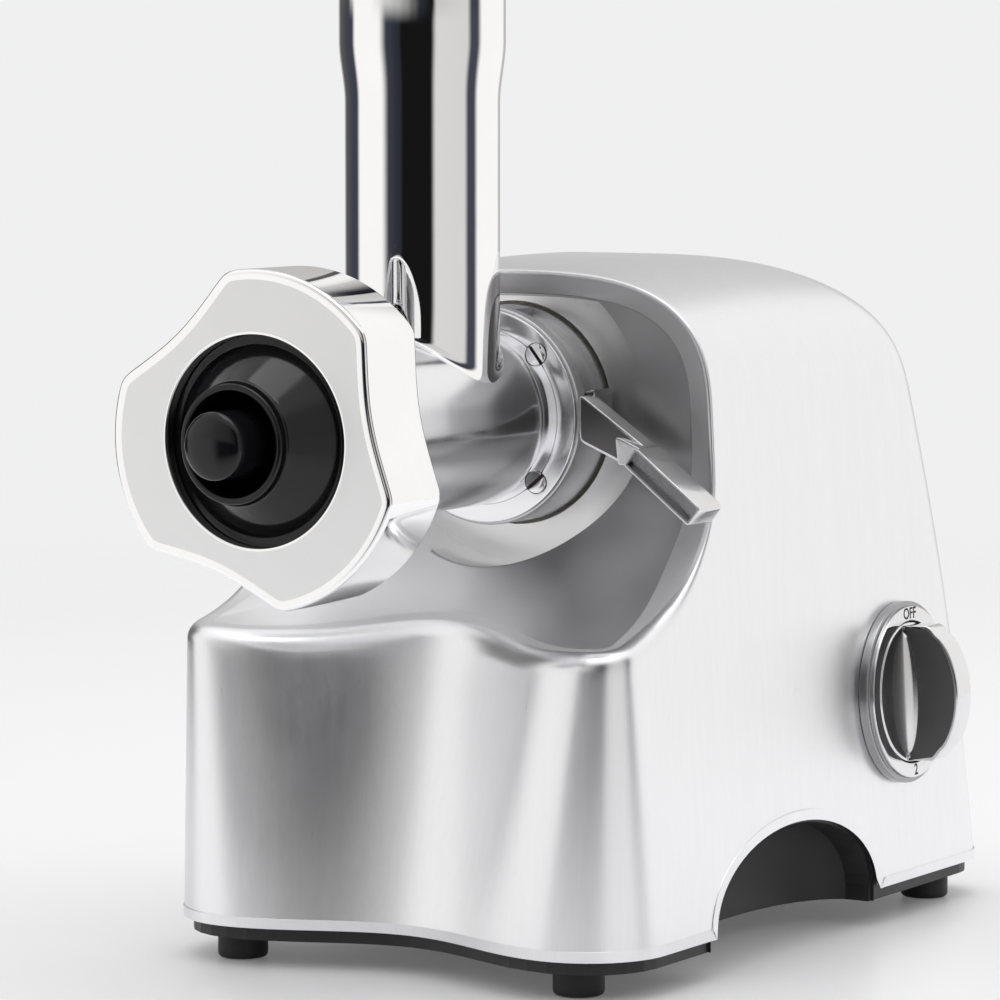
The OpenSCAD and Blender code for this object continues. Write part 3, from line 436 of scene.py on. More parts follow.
def rear_rows(starts, levels, sizes, spots):
    """Level rows of the rear body from rim to rim round the back, the crown bowed up a little."""
    share = (spots - spots[0]) / (spots[-1] - spots[0])
    rows = []
    for (_, start, z), level, size in zip(starts, levels, sizes):
        line = rear_line(z, mix(start, back_y(z) - CORNER_BACK, share), size)
        lift = BOW_RISE * level ** 4 * (1 - ((line[:, 1] - BOW_Y) / BOW_REACH) ** 2)
        rows.append(np.column_stack([line, z + lift]))
    return np.array(rows)


def lower_rows(edge_top, split, spots, split_z):
    """Rows of the lower body from its rolled lip, along the bottom edge or the arch, up to the edge
    of the toe in front and to the rear body's first row behind."""
    front_count = len(edge_top)
    x, y = split[1:-1, 0], split[1:-1, 1]
    side = np.abs(x) > wall_x(split_z) - 0.5
    rise = np.where(side, ARCH_B * np.sqrt(1 - np.clip((y - ARCH_Y) / ARCH_A, -1, 1) ** 2), 0)
    top_z = np.concatenate([edge_top, split[1:-1, 2]])
    low_z = BOTTOM + np.concatenate([np.zeros(front_count), rise])
    shares = np.concatenate([[0, 0.004, 0.02], np.linspace(0.05, 1, 30)])
    body = np.array([lower_row(mix(low_z, top_z, f), spots, split_z, front_count) for f in shares])
    x, y = body[0, :, 0].copy(), body[0, :, 1].copy()
    facing = unit(points(np.roll(y, -1) - np.roll(y, 1), np.roll(x, 1) - np.roll(x, -1), 0.0))
    up = np.tile([0.0, 0.0, 1.0], (len(x), 1))
    arched = low_z > BOTTOM + 0.01
    slope = points(0.0, (y - ARCH_Y) / ARCH_A ** 2, (low_z - BOTTOM) / ARCH_B ** 2)
    up[arched] = unit(slope[arched])
    facing[arched] = points(np.sign(x), 0.0, 0.0)[arched]
    lip = [body[0] - facing * LIP_ROUND * 3]
    for t in np.linspace(0, np.pi / 2, 4)[:-1]:
        lip.append(body[0] + up * LIP_ROUND * (1 - math.cos(t)) - facing * LIP_ROUND * (1 - math.sin(t)))
    body[0] += up * LIP_ROUND
    return np.concatenate([np.array(lip), body])


def round_the_vents(rows, overlap=3):
    """Which quads of the lower body stay: all but those well inside the vent panel at the back."""
    x, y, z = np.moveaxis(quad_middles(rows), -1, 0)
    level = (z > VENT_LOW[2] + overlap) & (z < VENT_HIGH[2] - overlap)
    return ~(level & (y > 190) & (np.abs(x) < VENT_HIGH[0] - overlap))


def seat_circle(loop_in, run, flat):
    """Angles and radii round the seat that face each point of the crease loop. The seat narrows
    where the loop comes closer to the axis than its full radius."""
    a = np.arctan2(loop_in[:, 0], run - run_at(np.array(0.0), np.array(AXIS_Z)))
    room = np.where(flat, SEAT_R, np.hypot(loop_in[:, 0], loop_in[:, 2] - AXIS_Z) - 0.7)
    return a, np.minimum(SEAT_R, room)


def hood_shell():
    """Outer skin of the hood. Lower body: upright columns from the bottom edge or the arch to just
    under the toe's edge. Rear body: level rows from rim to rim round the back, closing along the
    ridge. Then a round along the rim loop, the framing slope, the deep scoop blended from the loop
    to the seat's circle, and the seat."""
    shell = Shell()
    rims, creases, away, levels, sizes, rounds = rim_rows()
    starts = rims + away * rounds[:, None]
    split_z = starts[0, 2]
    spots = side_spots(starts[0, 1], split_z)
    rear = rear_rows(starts, levels, sizes, spots)
    shell.grid(rear)
    edge = front_line(rims[0, 2] - 1.8)
    edge_z = floor_z(edge[:, 0], edge[:, 1])
    edge_z[[0, -1]] = rims[0, 2]
    lower = lower_rows(edge_z - rounds[0], rear[0], spots, split_z)
    shell.grid(lower, wrap=True, keep=round_the_vents(lower))

    # Rim loop: toe edge from left to right, right side up to the ridge, left side down again
    normal = unit(points(-np.gradient(edge[:, 1]), np.gradient(edge[:, 0])))
    inset = edge + normal * BAND
    toe_crease = np.column_stack([inset, floor_z(inset[:, 0], inset[:, 1])])
    flip = np.array([-1.0, 1.0, 1.0])
    loop_out = np.concatenate([lower[-1, :len(edge)], rear[1:, 0], rear[-2:0:-1, -1]])
    loop_rim = np.concatenate([np.column_stack([edge, edge_z]), rims[1:], rims[-2:0:-1] * flip])
    loop_in = np.concatenate([toe_crease, creases[1:], creases[-2:0:-1] * flip])
    loop_r = np.concatenate([np.full(len(edge), rounds[0]), rounds[1:], rounds[-2:0:-1]])[:, None]
    inner_edge = loop_rim + unit(loop_in - loop_rim) * loop_r
    band = [mix(inner_edge, loop_in, t) for t in np.linspace(0, 0.94, 6)]

    # Deep scoop from the crease to the seat's circle, straight in width and profile distance
    flat = loop_in[:, 1] < DEEP_Y - 0.5
    run = np.where(flat, np.interp(loop_in[:, 1], DEEP_LINE[:, 0], DEEP_RUN),
                   run_at(loop_in[:, 0], loop_in[:, 2]))
    a, seat_r = seat_circle(loop_in, run, flat)
    seat_x, seat_z = seat_r * np.sin(a), AXIS_Z + seat_r * np.cos(a)
    share = np.concatenate([[0.02], np.linspace(0.05, 1, 34)])[:, None]
    scoop = deep_point(mix(loop_in[:, 0], seat_x, share), mix(run, run_at(seat_x, seat_z), share))
    scoop += (loop_in - deep_point(loop_in[:, 0], run)) * (1 - share[..., None]) ** 6
    rim_round = list(bend(loop_out, loop_rim, inner_edge, 8))
    crease_round = list(bend(band[-1], loop_in, scoop[0], 3))
    hole_r = np.minimum(HOLE_R, seat_r - 0.2)
    rings = ((seat_r, SEAT_Y), (mix(seat_r, hole_r, 0.25), SEAT_Y), (hole_r, SEAT_Y), (hole_r, SEAT_Y + 2))
    seat = [points(r * np.sin(a), y, AXIS_Z + r * np.cos(a)) for r, y in rings]
    # Slot 1, the scoop, carries painted shade deeper in; slot 2, the seat, carries painted shade towards its
    # right side.
    for rows, slot in ((rim_round, 0), (rim_round[-1:] + band[1:-1] + crease_round[:2], 3),
                       (crease_round[1:] + list(scoop[1:]), 1), ([scoop[-1]] + seat, 2)):
        shell.grid(rows, wrap=True, slot=slot)
    return shell


# ---- Shader nodes ----
UPRIGHT_GRAIN = (2600.0, 2600.0, 16.0)


def plug(tree, socket, value):
    """Gives an input a value, or links it where the value is another node's socket."""
    if isinstance(value, bpy.types.NodeSocket):
        tree.links.new(value, socket)
    else:
        socket.default_value = value


def add_node(tree, kind, values=(), **settings):
    """Adds a shader node with its own settings; values maps an input's label or number to a number,
    a tuple or a socket."""
    node = tree.nodes.new("ShaderNode" + kind)
    for label, setting in settings.items():
        setattr(node, label, setting)
    for label, value in dict(values).items():
        plug(tree, node.inputs[label], value)
    return node


def new_group(name, inputs, outputs):
    """Starts a shader node group with named value sockets: the group, its inputs and its outputs."""
    group = bpy.data.node_groups.new(name, "ShaderNodeTree")
    for label, default in inputs.items():
        kind = "NodeSocketVector" if isinstance(default, tuple) else "NodeSocketFloat"
        group.interface.new_socket(label, in_out="INPUT", socket_type=kind).default_value = default
    for label in outputs:
        group.interface.new_socket(label, in_out="OUTPUT", socket_type="NodeSocketFloat")
    return group, group.nodes.new("NodeGroupInput").outputs, group.nodes.new("NodeGroupOutput").inputs


def object_place(tree):
    """The object's own coordinates."""
    return add_node(tree, "TexCoord").outputs["Object"]


def noise(tree, vector, scale, detail, rough=0.5, stretch=None):
    """Noise at a place, stretched by a vector, as a value socket."""
    if stretch is not None:
        vector = add_node(tree, "VectorMath", {0: vector, 1: stretch}, operation="MULTIPLY").outputs[0]
    values = {"Detail": detail, "Roughness": rough, "Scale": scale, "Vector": vector}
    return add_node(tree, "TexNoise", values).outputs["Fac"]


def maths(tree, kind, a, b=0.0, clamp=False):
    """One Math node on two sockets or numbers."""
    return add_node(tree, "Math", {0: a, 1: b}, operation=kind, use_clamp=clamp).outputs[0]


def smooth_fall(tree, value, start, end, first=0.0, last=1.0):
    """A value carried smoothly from first at start to last at end."""
    values = {"Value": value, "From Min": start, "From Max": end, "To Min": first, "To Max": last}
    return add_node(tree, "MapRange", values, interpolation_type="SMOOTHSTEP").outputs["Result"]


def scaled(tree, vector, amount):
    """A vector or colour times a number."""
    return add_node(tree, "VectorMath", {0: vector, "Scale": amount}, operation="SCALE").outputs[0]


def centred(tree, value, amount):
    """A noise value moved to lie about zero and scaled."""
    return maths(tree, "MULTIPLY", maths(tree, "SUBTRACT", value, 0.5), amount)


def grain_group():
    """Brushed grain: long fine streaks along one direction, with a broader drift of tone.
    Stretch holds the streak scale on each axis; Streak is the fine value, Drift the broad one."""
    group, inside, outside = new_group("Brushed grain", {"Stretch": UPRIGHT_GRAIN}, ("Streak", "Drift"))
    place = object_place(group)
    plug(group, outside["Streak"], noise(group, place, 1.0, 3, 0.65, inside["Stretch"]))
    broad = scaled(group, inside["Stretch"], 0.16)
    plug(group, outside["Drift"], noise(group, place, 1.0, 2, 0.5, broad))
    return group


def wear_group():
    """Handling marks: soft smudges from broad noise and thin scratches where a fine stretched noise
    comes near its middle value."""
    inputs = {"Smudge scale": 40.0, "Scratch scale": 300.0}
    group, inside, outside = new_group("Handling marks", inputs, ("Smudge", "Scratch"))
    place = object_place(group)
    smudge = noise(group, place, inside["Smudge scale"], 4, 0.6)
    line = noise(group, place, inside["Scratch scale"], 1, 0.4, (1.0, 0.25, 0.6))
    near = maths(group, "ABSOLUTE", maths(group, "SUBTRACT", line, 0.5))
    thin = maths(group, "SUBTRACT", 1.0, maths(group, "MULTIPLY", near, 90.0), clamp=True)
    patch = noise(group, place, 25.0, 2, 0.5)
    seen = maths(group, "MULTIPLY", thin, maths(group, "GREATER_THAN", patch, 0.6))
    plug(group, outside["Smudge"], smooth_fall(group, smudge, 0.45, 0.75))
    plug(group, outside["Scratch"], seen)
    return group


def moulded_group():
    """Moulded surface: a fine even orange-peel height and a slow drift of gloss."""
    group, inside, outside = new_group("Moulded skin", {"Peel scale": 900.0}, ("Peel", "Gloss"))
    place = object_place(group)
    plug(group, outside["Peel"], noise(group, place, inside["Peel scale"], 2, 0.5))
    plug(group, outside["Gloss"], noise(group, place, 35.0, 3, 0.5))
    return group


class Finish:
    """A material under construction: one Principled shader with helpers that add grain, marks and painted
    shade.
    """

    groups = {}

    def __init__(self, name, colour, metallic, roughness):
        self.material = bpy.data.materials.new(name)
        self.material.use_nodes = True
        self.tree = self.material.node_tree
        self.sockets = self.tree.nodes["Principled BSDF"].inputs
        self.set({"Base Color": (*colour, 1), "Metallic": metallic, "Roughness": roughness})
        self.colour, self.rough = colour, roughness

    def set(self, values):
        """Sets or links inputs of the shader by label."""
        for label, value in values.items():
            plug(self.tree, self.sockets[label], value)

    def use(self, build, **values):
        """Places a shared node group in this material, building it once."""
        if build not in Finish.groups:
            Finish.groups[build] = build()
        node = add_node(self.tree, "Group", node_tree=Finish.groups[build])
        for label, value in values.items():
            node.inputs[label.replace("_", " ")].default_value = value
        return node.outputs

    def spread(self, level, pairs):
        """A level moved by (socket, amount) pairs about their middle."""
        for value, amount in pairs:
            level = maths(self.tree, "ADD", centred(self.tree, value, amount), level)
        return level

    def vary(self, rough, tone=()):
        """Lets (socket, amount) pairs move the roughness and the colour's tone."""
        self.set({"Roughness": maths(self.tree, "MAXIMUM", self.spread(self.rough, rough), 0.02)})
        if tone:
            self.set({"Base Color": scaled(self.tree, self.colour, self.spread(1.0, tone))})

    def darken_along(self, axis, start, end, amount):
        """Paints shade: lets the tone fall smoothly between two places on an axis."""
        split = add_node(self.tree, "SeparateXYZ", {0: object_place(self.tree)})
        fall = smooth_fall(self.tree, split.outputs[axis], start, end, 1.0, 1 - amount)
        full = self.sockets["Base Color"].links[0].from_socket
        self.set({"Base Color": scaled(self.tree, full, fall)})

    def bump(self, value, distance):
        """Raises the surface by a height value, in metres."""
        values = {"Strength": 1.0, "Distance": distance, "Height": value}
        self.set({"Normal": add_node(self.tree, "Bump", values).outputs[0]})


def brushed(name, colour, roughness, stretch, depth, tone=0.05, streak=0.09, deepen=None):
    """Brushed stainless sheet: streaked roughness, tone and a shallow streaked height. Where the last
    argument gives (from, to, amount), the tone falls by that amount between two depths of the scoop,
    as painted shade deeper in."""
    finish = Finish(name, colour, 1.0, roughness)
    grain = finish.use(grain_group, Stretch=stretch)
    marks = finish.use(wear_group)
    finish.vary([(grain["Streak"], streak), (grain["Drift"], streak * 0.4), (marks["Smudge"], 0.02)],
                [(grain["Streak"], tone), (grain["Drift"], tone * 0.5)])
    if deepen:
        finish.darken_along("Y", *deepen)
    finish.bump(grain["Streak"], depth)
    return finish.material


def polished(name, colour, roughness, metal=1.0, fall=None):
    """Polished metal: a slow waviness, faint smudges and a few hairline scratches. Where fall gives
    (axis, from, to, amount), the tone falls along that axis as painted shade."""
    finish = Finish(name, colour, metal, roughness)
    marks = finish.use(wear_group)
    skin = finish.use(moulded_group, Peel_scale=60.0)
    finish.vary([(marks["Smudge"], 0.05), (marks["Scratch"], 0.10), (skin["Gloss"], 0.04)],
                [(marks["Smudge"], 0.03)])
    if fall:
        finish.darken_along(*fall)
    finish.bump(skin["Peel"], 2e-5)
    return finish.material


def plastic(name, colour, roughness, peel=900.0):
    """Moulded plastic or rubber: orange-peel height and a drift of gloss, with faint smudges."""
    finish = Finish(name, colour, 0.0, roughness)
    finish.set({"Specular IOR Level": 0.36})
    skin = finish.use(moulded_group, Peel_scale=peel)
    marks = finish.use(wear_group)
    finish.vary([(skin["Gloss"], 0.06), (marks["Smudge"], 0.05)], [(skin["Gloss"], 0.15)])
    finish.bump(skin["Peel"], 8e-6)
    return finish.material


def make_materials(colours):
    """Every finish of the grinder, by its plain name."""
    steel, black = tuple(colours.steel), tuple(colours.plastic)
    MATERIALS.update(
        sheet_upright=brushed("Steel sheet brushed upright", steel, 0.31, UPRIGHT_GRAIN, 0.5e-6, tone=0.10),
        # Scoop sheet: its tone falls deeper into the scoop as painted shade.
        sheet_recess=brushed("Steel sheet of the scoop", steel, 0.36, UPRIGHT_GRAIN, 0.8e-6,
                             deepen=(-0.005, 0.05, 0.52)),
        polished_alloy=polished("Polished alloy", (0.94, 0.94, 0.945), 0.09),
        satin_alloy=brushed("Satin alloy", (0.86, 0.86, 0.865), 0.36, (1500.0,) * 3, 1e-6, 0.02),
        turned_alloy=brushed("Turned alloy", (0.84, 0.84, 0.86), 0.16, (60.0, 2600.0, 60.0), 1e-6, 0.04),
        chrome=polished("Chrome", (0.78, 0.78, 0.79), 0.09),
        satin_chrome=polished("Satin chrome", (0.74, 0.74, 0.745), 0.24),
        # A darker copy of the chrome, used as painted shade on the lever's and the knob's front faces.
        smoked_chrome=brushed("Smoked chrome", (0.17, 0.165, 0.165), 0.34, (30.0, 30.0, 2200.0), 0.8e-6,
                              tone=0.08),
        # A grey copy of the chrome, used as painted shade on the bezel, the knob's base top and the grip's
        # pocket.
        grey_chrome=polished("Grey satin chrome", (0.36, 0.36, 0.37), 0.30),
        socket=brushed("Grey cast alloy", (0.74, 0.74, 0.75), 0.42, (900.0,) * 3, 2e-6, 0.06),
        black_gloss=plastic("Black gloss plastic", black, 0.13),
        black_matt=plastic("Black matt plastic", (0.022, 0.022, 0.024), 0.42),
        rubber=plastic("Black rubber", (0.018, 0.018, 0.019), 0.55, peel=1600.0),
        sheet_band=polished("Blasted sheet of the frame", (0.80, 0.79, 0.80), 0.42, metal=0.55),
        # Seat: pale satin whose tone falls towards its right side as painted shade.
        seat_satin=polished("Pale satin of the seat", (0.96, 0.96, 0.965), 0.36, metal=0.75,
                            fall=("X", 0.024, 0.042, 0.55)),
        # Brown-black floor of the screw slots, as painted shade.
        slot_brown=plastic("Brown-black slot", (0.03, 0.016, 0.01), 0.5),
        mark=plastic("Engraved black", (0.01, 0.01, 0.01), 0.5),
        nylon=plastic("Natural nylon", (0.76, 0.73, 0.62), 0.38),
        copper=polished("Enamelled copper", (0.72, 0.33, 0.16), 0.28),
        bronze=polished("Sintered bronze", (0.55, 0.38, 0.20), 0.40),
        lamination=brushed("Laminated steel", (0.42, 0.42, 0.43), 0.42, (40.0, 2600.0, 40.0), 1e-5, 0.3),
        board=plastic("Green board", (0.03, 0.16, 0.07), 0.35),
        carbon=plastic("Brush carbon", (0.03, 0.03, 0.032), 0.6),
        plain_steel=polished("Plain steel", (0.62, 0.62, 0.63), 0.24),
    )


# ---- Putting pieces on the frame ----
def finish_piece(piece, body, *nodes):
    """Rides the piece on its body and hides the CAD nodes that it stands for."""
    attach(piece, body)
    if nodes:
        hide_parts(*nodes)


def bored_solid(name, profile, place, finish, body, node, count=96):
    """A turned piece from a closed profile of (radius, along, fillet) corners."""
    line = soften([*profile, profile[0]])
    finish_piece(Shell().grid(turned(line, place, count), wrap=True).build(name, [finish]), body, node)


# ---- Head ----
BARREL_R, BORE_R, CUP_BACK = 26.5, 23.0, -30.0
TUBE_R, THROAT_R, COLLAR_R, COLLAR_WALL, MOUTH_R = 22.8, 19.8, 24.5, 2.2, 21.3
TUBE_TOP = HEAD_HIGH[2]
BELL_FROM, BELL_HEIGHT = TUBE_TOP - 42, 18.0
CUP_R, CUP_IN, CUP_Y = 34.2, 31.2, NUT_LOW[1] + 4.2
CUP_FLOOR = CUP_Y + 8.3
SPIGOT_END, SPIGOT_R, SPIGOT_FROM = HEAD_HIGH[1], 12.05, 34.0
NECK_Y, NECK_IN = 24.0, 3.2
SCREW_AT, SCREW_R, SCREW_HEAD = 27.0, 3.6, 2.0
SCREW_TURNS = np.radians([45, 135, 225, 315])
RING_FRONT, RING_NECK, CONE_SLOPE = RING_LOW[1], 23.3, 0.14


def notch_angles(between=20, inside=15):
    """Angles round the drive axis, close together across each screw and even between them, with each
    one's offset from the nearest screw."""
    half = math.asin(SCREW_R / SCREW_AT)
    near = half * np.sin(np.linspace(-np.pi / 2, np.pi / 2, inside))
    offset = np.concatenate([near, np.linspace(half, np.pi / 2 - half, between + 2)[1:-1]])
    wrapped = (offset + np.pi / 4) % (np.pi / 2) - np.pi / 4
    return (SCREW_TURNS[:, None] + offset).ravel(), np.tile(wrapped, 4)


def notch_radius(offset, base, far):
    """Radius of the barrel or the ring round its axis with the screws' round notches taken out: where
    a line at this offset meets the screw's circle, c cos(d) - or + the root of s^2 - c^2 sin^2(d)."""
    reach = SCREW_R ** 2 - (SCREW_AT * np.sin(offset)) ** 2
    root = np.sqrt(np.maximum(reach, 0))
    middle = SCREW_AT * np.cos(offset)
    met = np.maximum(base, middle + root) if far else np.minimum(base, middle - root)
    return np.where(reach >= -1e-9, met, base)


def cone_y(radius):
    """The flange's face leans back outwards from the neck at eight degrees."""
    return RING_FRONT + CONE_SLOPE * (radius - RING_NECK)


def turned_rows(profile, angles):
    """Rows of a surface of revolution about the drive axis at given angles; a profile radius may be
    an array with one value per angle."""
    return np.array([on_drive(r * np.cos(angles), r * np.sin(angles), y) for r, y in profile])


def tube_foot(fillet, a):
    """Fillet between the upright tube and the barrel: for every direction round the tube a curve that
    leaves the barrel along its surface and runs up into the tube's wall."""
    across, along = np.cos(a), np.sin(a)
    lean = np.arcsin(TUBE_R * across / BARREL_R)
    crossing = on_drive(TUBE_R * across, BARREL_R * np.cos(lean), TUBE_R * along)
    lean_out = lean + fillet * across / BARREL_R
    low_r = BARREL_R - 0.06
    low = on_drive(low_r * np.sin(lean_out), low_r * np.cos(lean_out), (TUBE_R + fillet) * along)
    return bend(low, crossing, crossing + np.array([0, 0, fillet * 1.3]), 8)


def head_shell(fillet):
    """Head casting: barrel and cup turned about the drive axis with notches for the ring's screws,
    feed tube turned upright with its bell-shaped collar, joined by a fillet that follows where the
    two cylinders cross. The barrel is left open under the tube, and a collar round the throat lies on
    the bore."""
    shell = Shell()
    angles, offset = notch_angles()
    notched = notch_radius(offset, BARREL_R, far=False)
    lane = np.linspace(-NECK_Y, NECK_Y, 33)
    nut_back = NUT_HIGH[1]
    cup = soften([(CUP_R, CUP_Y), (CUP_R, nut_back - 2, 1.5), (BARREL_R, nut_back + 3, 3),
                  (BARREL_R, CUP_BACK)])
    neck = [(BARREL_R - NECK_IN * ease(t), mix(NECK_Y, RING_FRONT, t)) for t in np.linspace(0, 1, 9)[1:]]
    seat_y = RING_FRONT + SCREW_HEAD
    outside = [*cup, *((BARREL_R, y) for y in lane), *neck, (notched, cone_y(notched)), (notched, seat_y),
               (BARREL_R, seat_y), (BARREL_R, SPIGOT_END)]
    inside = [(SPIGOT_R, SPIGOT_END), (SPIGOT_R, SPIGOT_FROM), (BORE_R, SPIGOT_FROM),
              *((BORE_R, y) for y in lane[::-1]), (BORE_R, CUP_FLOOR), (CUP_IN, CUP_FLOOR), (CUP_IN, CUP_Y)]
    rows = turned_rows([*outside, *inside, outside[0]], angles)
    x, y, z = np.moveaxis(quad_middles(rows), -1, 0)
    shell.grid(rows, wrap=True, keep=(np.hypot(x, y) >= MOUTH_R) | (z <= AXIS_Z), slot=1)
    a = full_turn(128)
    foot = tube_foot(fillet, a)
    bell = [(mix(TUBE_R, COLLAR_R, ease(t)), BELL_FROM + BELL_HEIGHT * t) for t in np.linspace(0, 1, 14)]
    collar_in, ledge = COLLAR_R - COLLAR_WALL, TUBE_TOP - 15
    lip = soften([(COLLAR_R, BELL_FROM + BELL_HEIGHT), (COLLAR_R, TUBE_TOP, 0.8), (collar_in, TUBE_TOP, 0.6),
                  (collar_in, ledge, 0.5), (THROAT_R, ledge, 0.5), (THROAT_R, AXIS_Z + 30)])
    upper = turned(np.concatenate([bell, lip[1:]]), points, len(a))
    wall = mix(foot[-1], upper[0], np.linspace(0, 1, 8)[1:-1, None, None])
    skirt = [on_drive(r * np.cos(a), np.sqrt((BORE_R - 0.04) ** 2 - (r * np.cos(a)) ** 2), r * np.sin(a))
             for r in (THROAT_R, 21.2, 22.4)]
    return shell.grid(np.concatenate([foot, wall, upper, skirt]), wrap=True)


# ---- Nut ----
NUT_R, NUT_OPENING, NUT_BORE, NUT_LIP = NUT_HIGH[2] - AXIS_Z, 30.0, 34.45, 3.8
LOBE_HALF, LOBE_AT, SCALLOP = math.radians(31), math.radians(70.9), 2.6


def outward(line):
    """Outward normals of a closed counter-clockwise outline."""
    along = np.roll(line, -1, axis=0) - np.roll(line, 1, axis=0)
    return unit(points(along[:, 1], -along[:, 0]))


def nut_outline(count=360):
    """Outline of the nut: three lobes of constant radius joined by shallow hollow curves, eased by a
    running mean round the loop."""
    a = full_turn(count)
    gap = 2 * np.pi / 3 - 2 * LOBE_HALF
    turn = (a - LOBE_AT + LOBE_HALF) % (2 * np.pi / 3)
    share = np.clip((turn - 2 * LOBE_HALF) / gap, 0, 1)
    chord = NUT_R * math.cos(gap / 2) / np.cos((share - 0.5) * gap)
    radius = np.where(share > 0, chord - SCALLOP * 4 * share * (1 - share), NUT_R)
    for _ in range(8):
        radius = (np.roll(radius, 1) + 2 * radius + np.roll(radius, -1)) / 4
    return circle(radius, a)


def nut_shell(edge):
    """Clamping nut: its lobed outline carried from the back to the front with rounded edges, a flat
    face, and the turned opening and bore."""
    line = nut_outline()
    y0, y1 = NUT_LOW[1], NUT_HIGH[1]
    profile = soften([(-3.4, y1), (0, y1, 1.4), (0, y0, edge), (-edge - 0.15, y0)], steps=8)
    rows = np.array([upright(line + outward(line) * inset, y) for inset, y in profile])
    opening = soften([(NUT_OPENING + 0.8, y0), (NUT_OPENING, y0, 0.5), (NUT_OPENING, y0 + NUT_LIP, 0.3),
                      (NUT_BORE, y0 + NUT_LIP), (NUT_BORE, y1, 0.5), (NUT_BORE + 2.05, y1)])
    bore = turned(opening, on_drive, len(line))
    shell = Shell().grid(rows, wrap=True)
    shell.grid(mix(rows[-1], bore[0], np.linspace(0, 1, 4)[:, None, None]), wrap=True, slot=1)
    shell.grid(bore, wrap=True)
    return shell.grid(mix(bore[-1], rows[0], np.linspace(0, 1, 3)[:, None, None]), wrap=True)


# ---- Kubbe attachment ----
SHAPER_R, SHAPER_HOLE = 17.0, 14.9
PIN_R, PIN_FOOT, PLATE_R = 9.6, 13.1, 30.9
PASTE_HOLE, PASTE_AT = 5.4, 21.0


def shaper_profile():
    """Shaping tube: flange in the cup, sloping web, short tube with a rounded front."""
    front, back = SHAPER_LOW[1], SHAPER_HIGH[1]
    flange = [(PLATE_R, back, 0.3), (PLATE_R, back - 4, 0.4), (27.3, back - 4.05, 0.8)]
    tube = [(SHAPER_R, front + 3.5, 2.2), (SHAPER_R, front, 0.9), (SHAPER_HOLE, front, 0.7)]
    return [*flange, *tube, (SHAPER_HOLE, front + 6, 1.5), (24.8, back, 0.3)]


def cone_shell():
    """Inner pin: shallow dome, straight pin widening to the flange, and the flange's two faces and
    six holes, each face a grid from a hole's circle out to its own sixth of the flange."""
    front, back = CONE_LOW[1], CONE_HIGH[1]
    face = back - 3.9
    t = np.linspace(0.02, np.pi / 2, 12)
    dome = points(PIN_R * np.sin(t), front + 3 - 3 * np.cos(t))
    side = soften([(PIN_R, front + 3), (PIN_R, face - 14, 3), (PIN_R + 2, face - 2, 1.5), (PIN_FOOT, face)])
    tip = np.array([(0.0, front), (PIN_R * math.sin(0.02), front)])
    rim = soften([(PLATE_R - 1, face), (PLATE_R, face, 0.4), (PLATE_R, back, 0.4), (PLATE_R - 1, back)])
    core = np.array([(PIN_FOOT, back), (5.05, back), (5.05, back - 10), (0.01, back - 10)])
    shell = Shell()
    for line, count in ((np.concatenate([dome, side]), 96), (tip, 96), (rim, 120)):
        shell.grid(turned(line, on_drive, count), wrap=True)
    for k in range(6):
        shell.grid(paste_sector(k * np.pi / 3, face, back), wrap=True)
    return shell.grid(turned(core, on_drive, 96), wrap=True)


def paste_sector(middle, face, back):
    """One sixth of the flange round one hole: its closed border on the front face, in to the hole's
    circle, through the hole, and out to the border on the back."""
    spread = np.linspace(-np.pi / 6, np.pi / 6, 21)
    reach = np.linspace(PIN_FOOT, PLATE_R - 1, 9)
    flat = np.concatenate([circle(reach[0], spread[:-1]), circle(reach[:-1], spread[-1]),
                           circle(reach[-1], spread[:0:-1]), circle(reach[:0:-1], spread[0])])
    centre = np.array([PASTE_AT, 0.0])
    hole = centre + PASTE_HOLE * unit(flat - centre)
    turn = np.array([[math.cos(middle), math.sin(middle)], [-math.sin(middle), math.cos(middle)]])
    flat, hole = flat @ turn, hole @ turn
    rows = ((flat, face), (mix(flat, hole, 0.6), face), (hole, face), (hole, back), (flat, back))
    return np.array([upright(line, y) for line, y in rows])


# ---- Bayonet ring and socket ----
SOCKET_R, LOCK_R = SOCKET_HIGH[0], 29.7
SLOT_FROM, SLOT_TO = math.radians(-14), math.radians(77)
SLOT_Y, SLOT_FLOOR = (39.5, 50.5), LOCK_R + 1.5


def ring_shell():
    """Bayonet ring: a front disc with the screws' round notches and a plain skirt behind it."""
    angles, offset = notch_angles()
    base, rim, skirt = BARREL_R + 0.05, 32.3, 29.4
    notched = notch_radius(offset, base, far=True)
    seat_y, disc_y = RING_FRONT + SCREW_HEAD, RING_FRONT + 2.3
    edge = soften([(RING_NECK, RING_FRONT), (rim, cone_y(rim), 0.45), (rim, disc_y, 0.3), (skirt, disc_y),
                   (skirt, RING_HIGH[1], 0.5), (base, RING_HIGH[1])])[1:]
    profile = [(base, seat_y), (notched, seat_y), (notched, cone_y(notched) + 0.15),
               (notched + 0.15, cone_y(notched + 0.15)), *edge, (base, seat_y)]
    return Shell().grid(turned_rows(profile, angles), wrap=True)


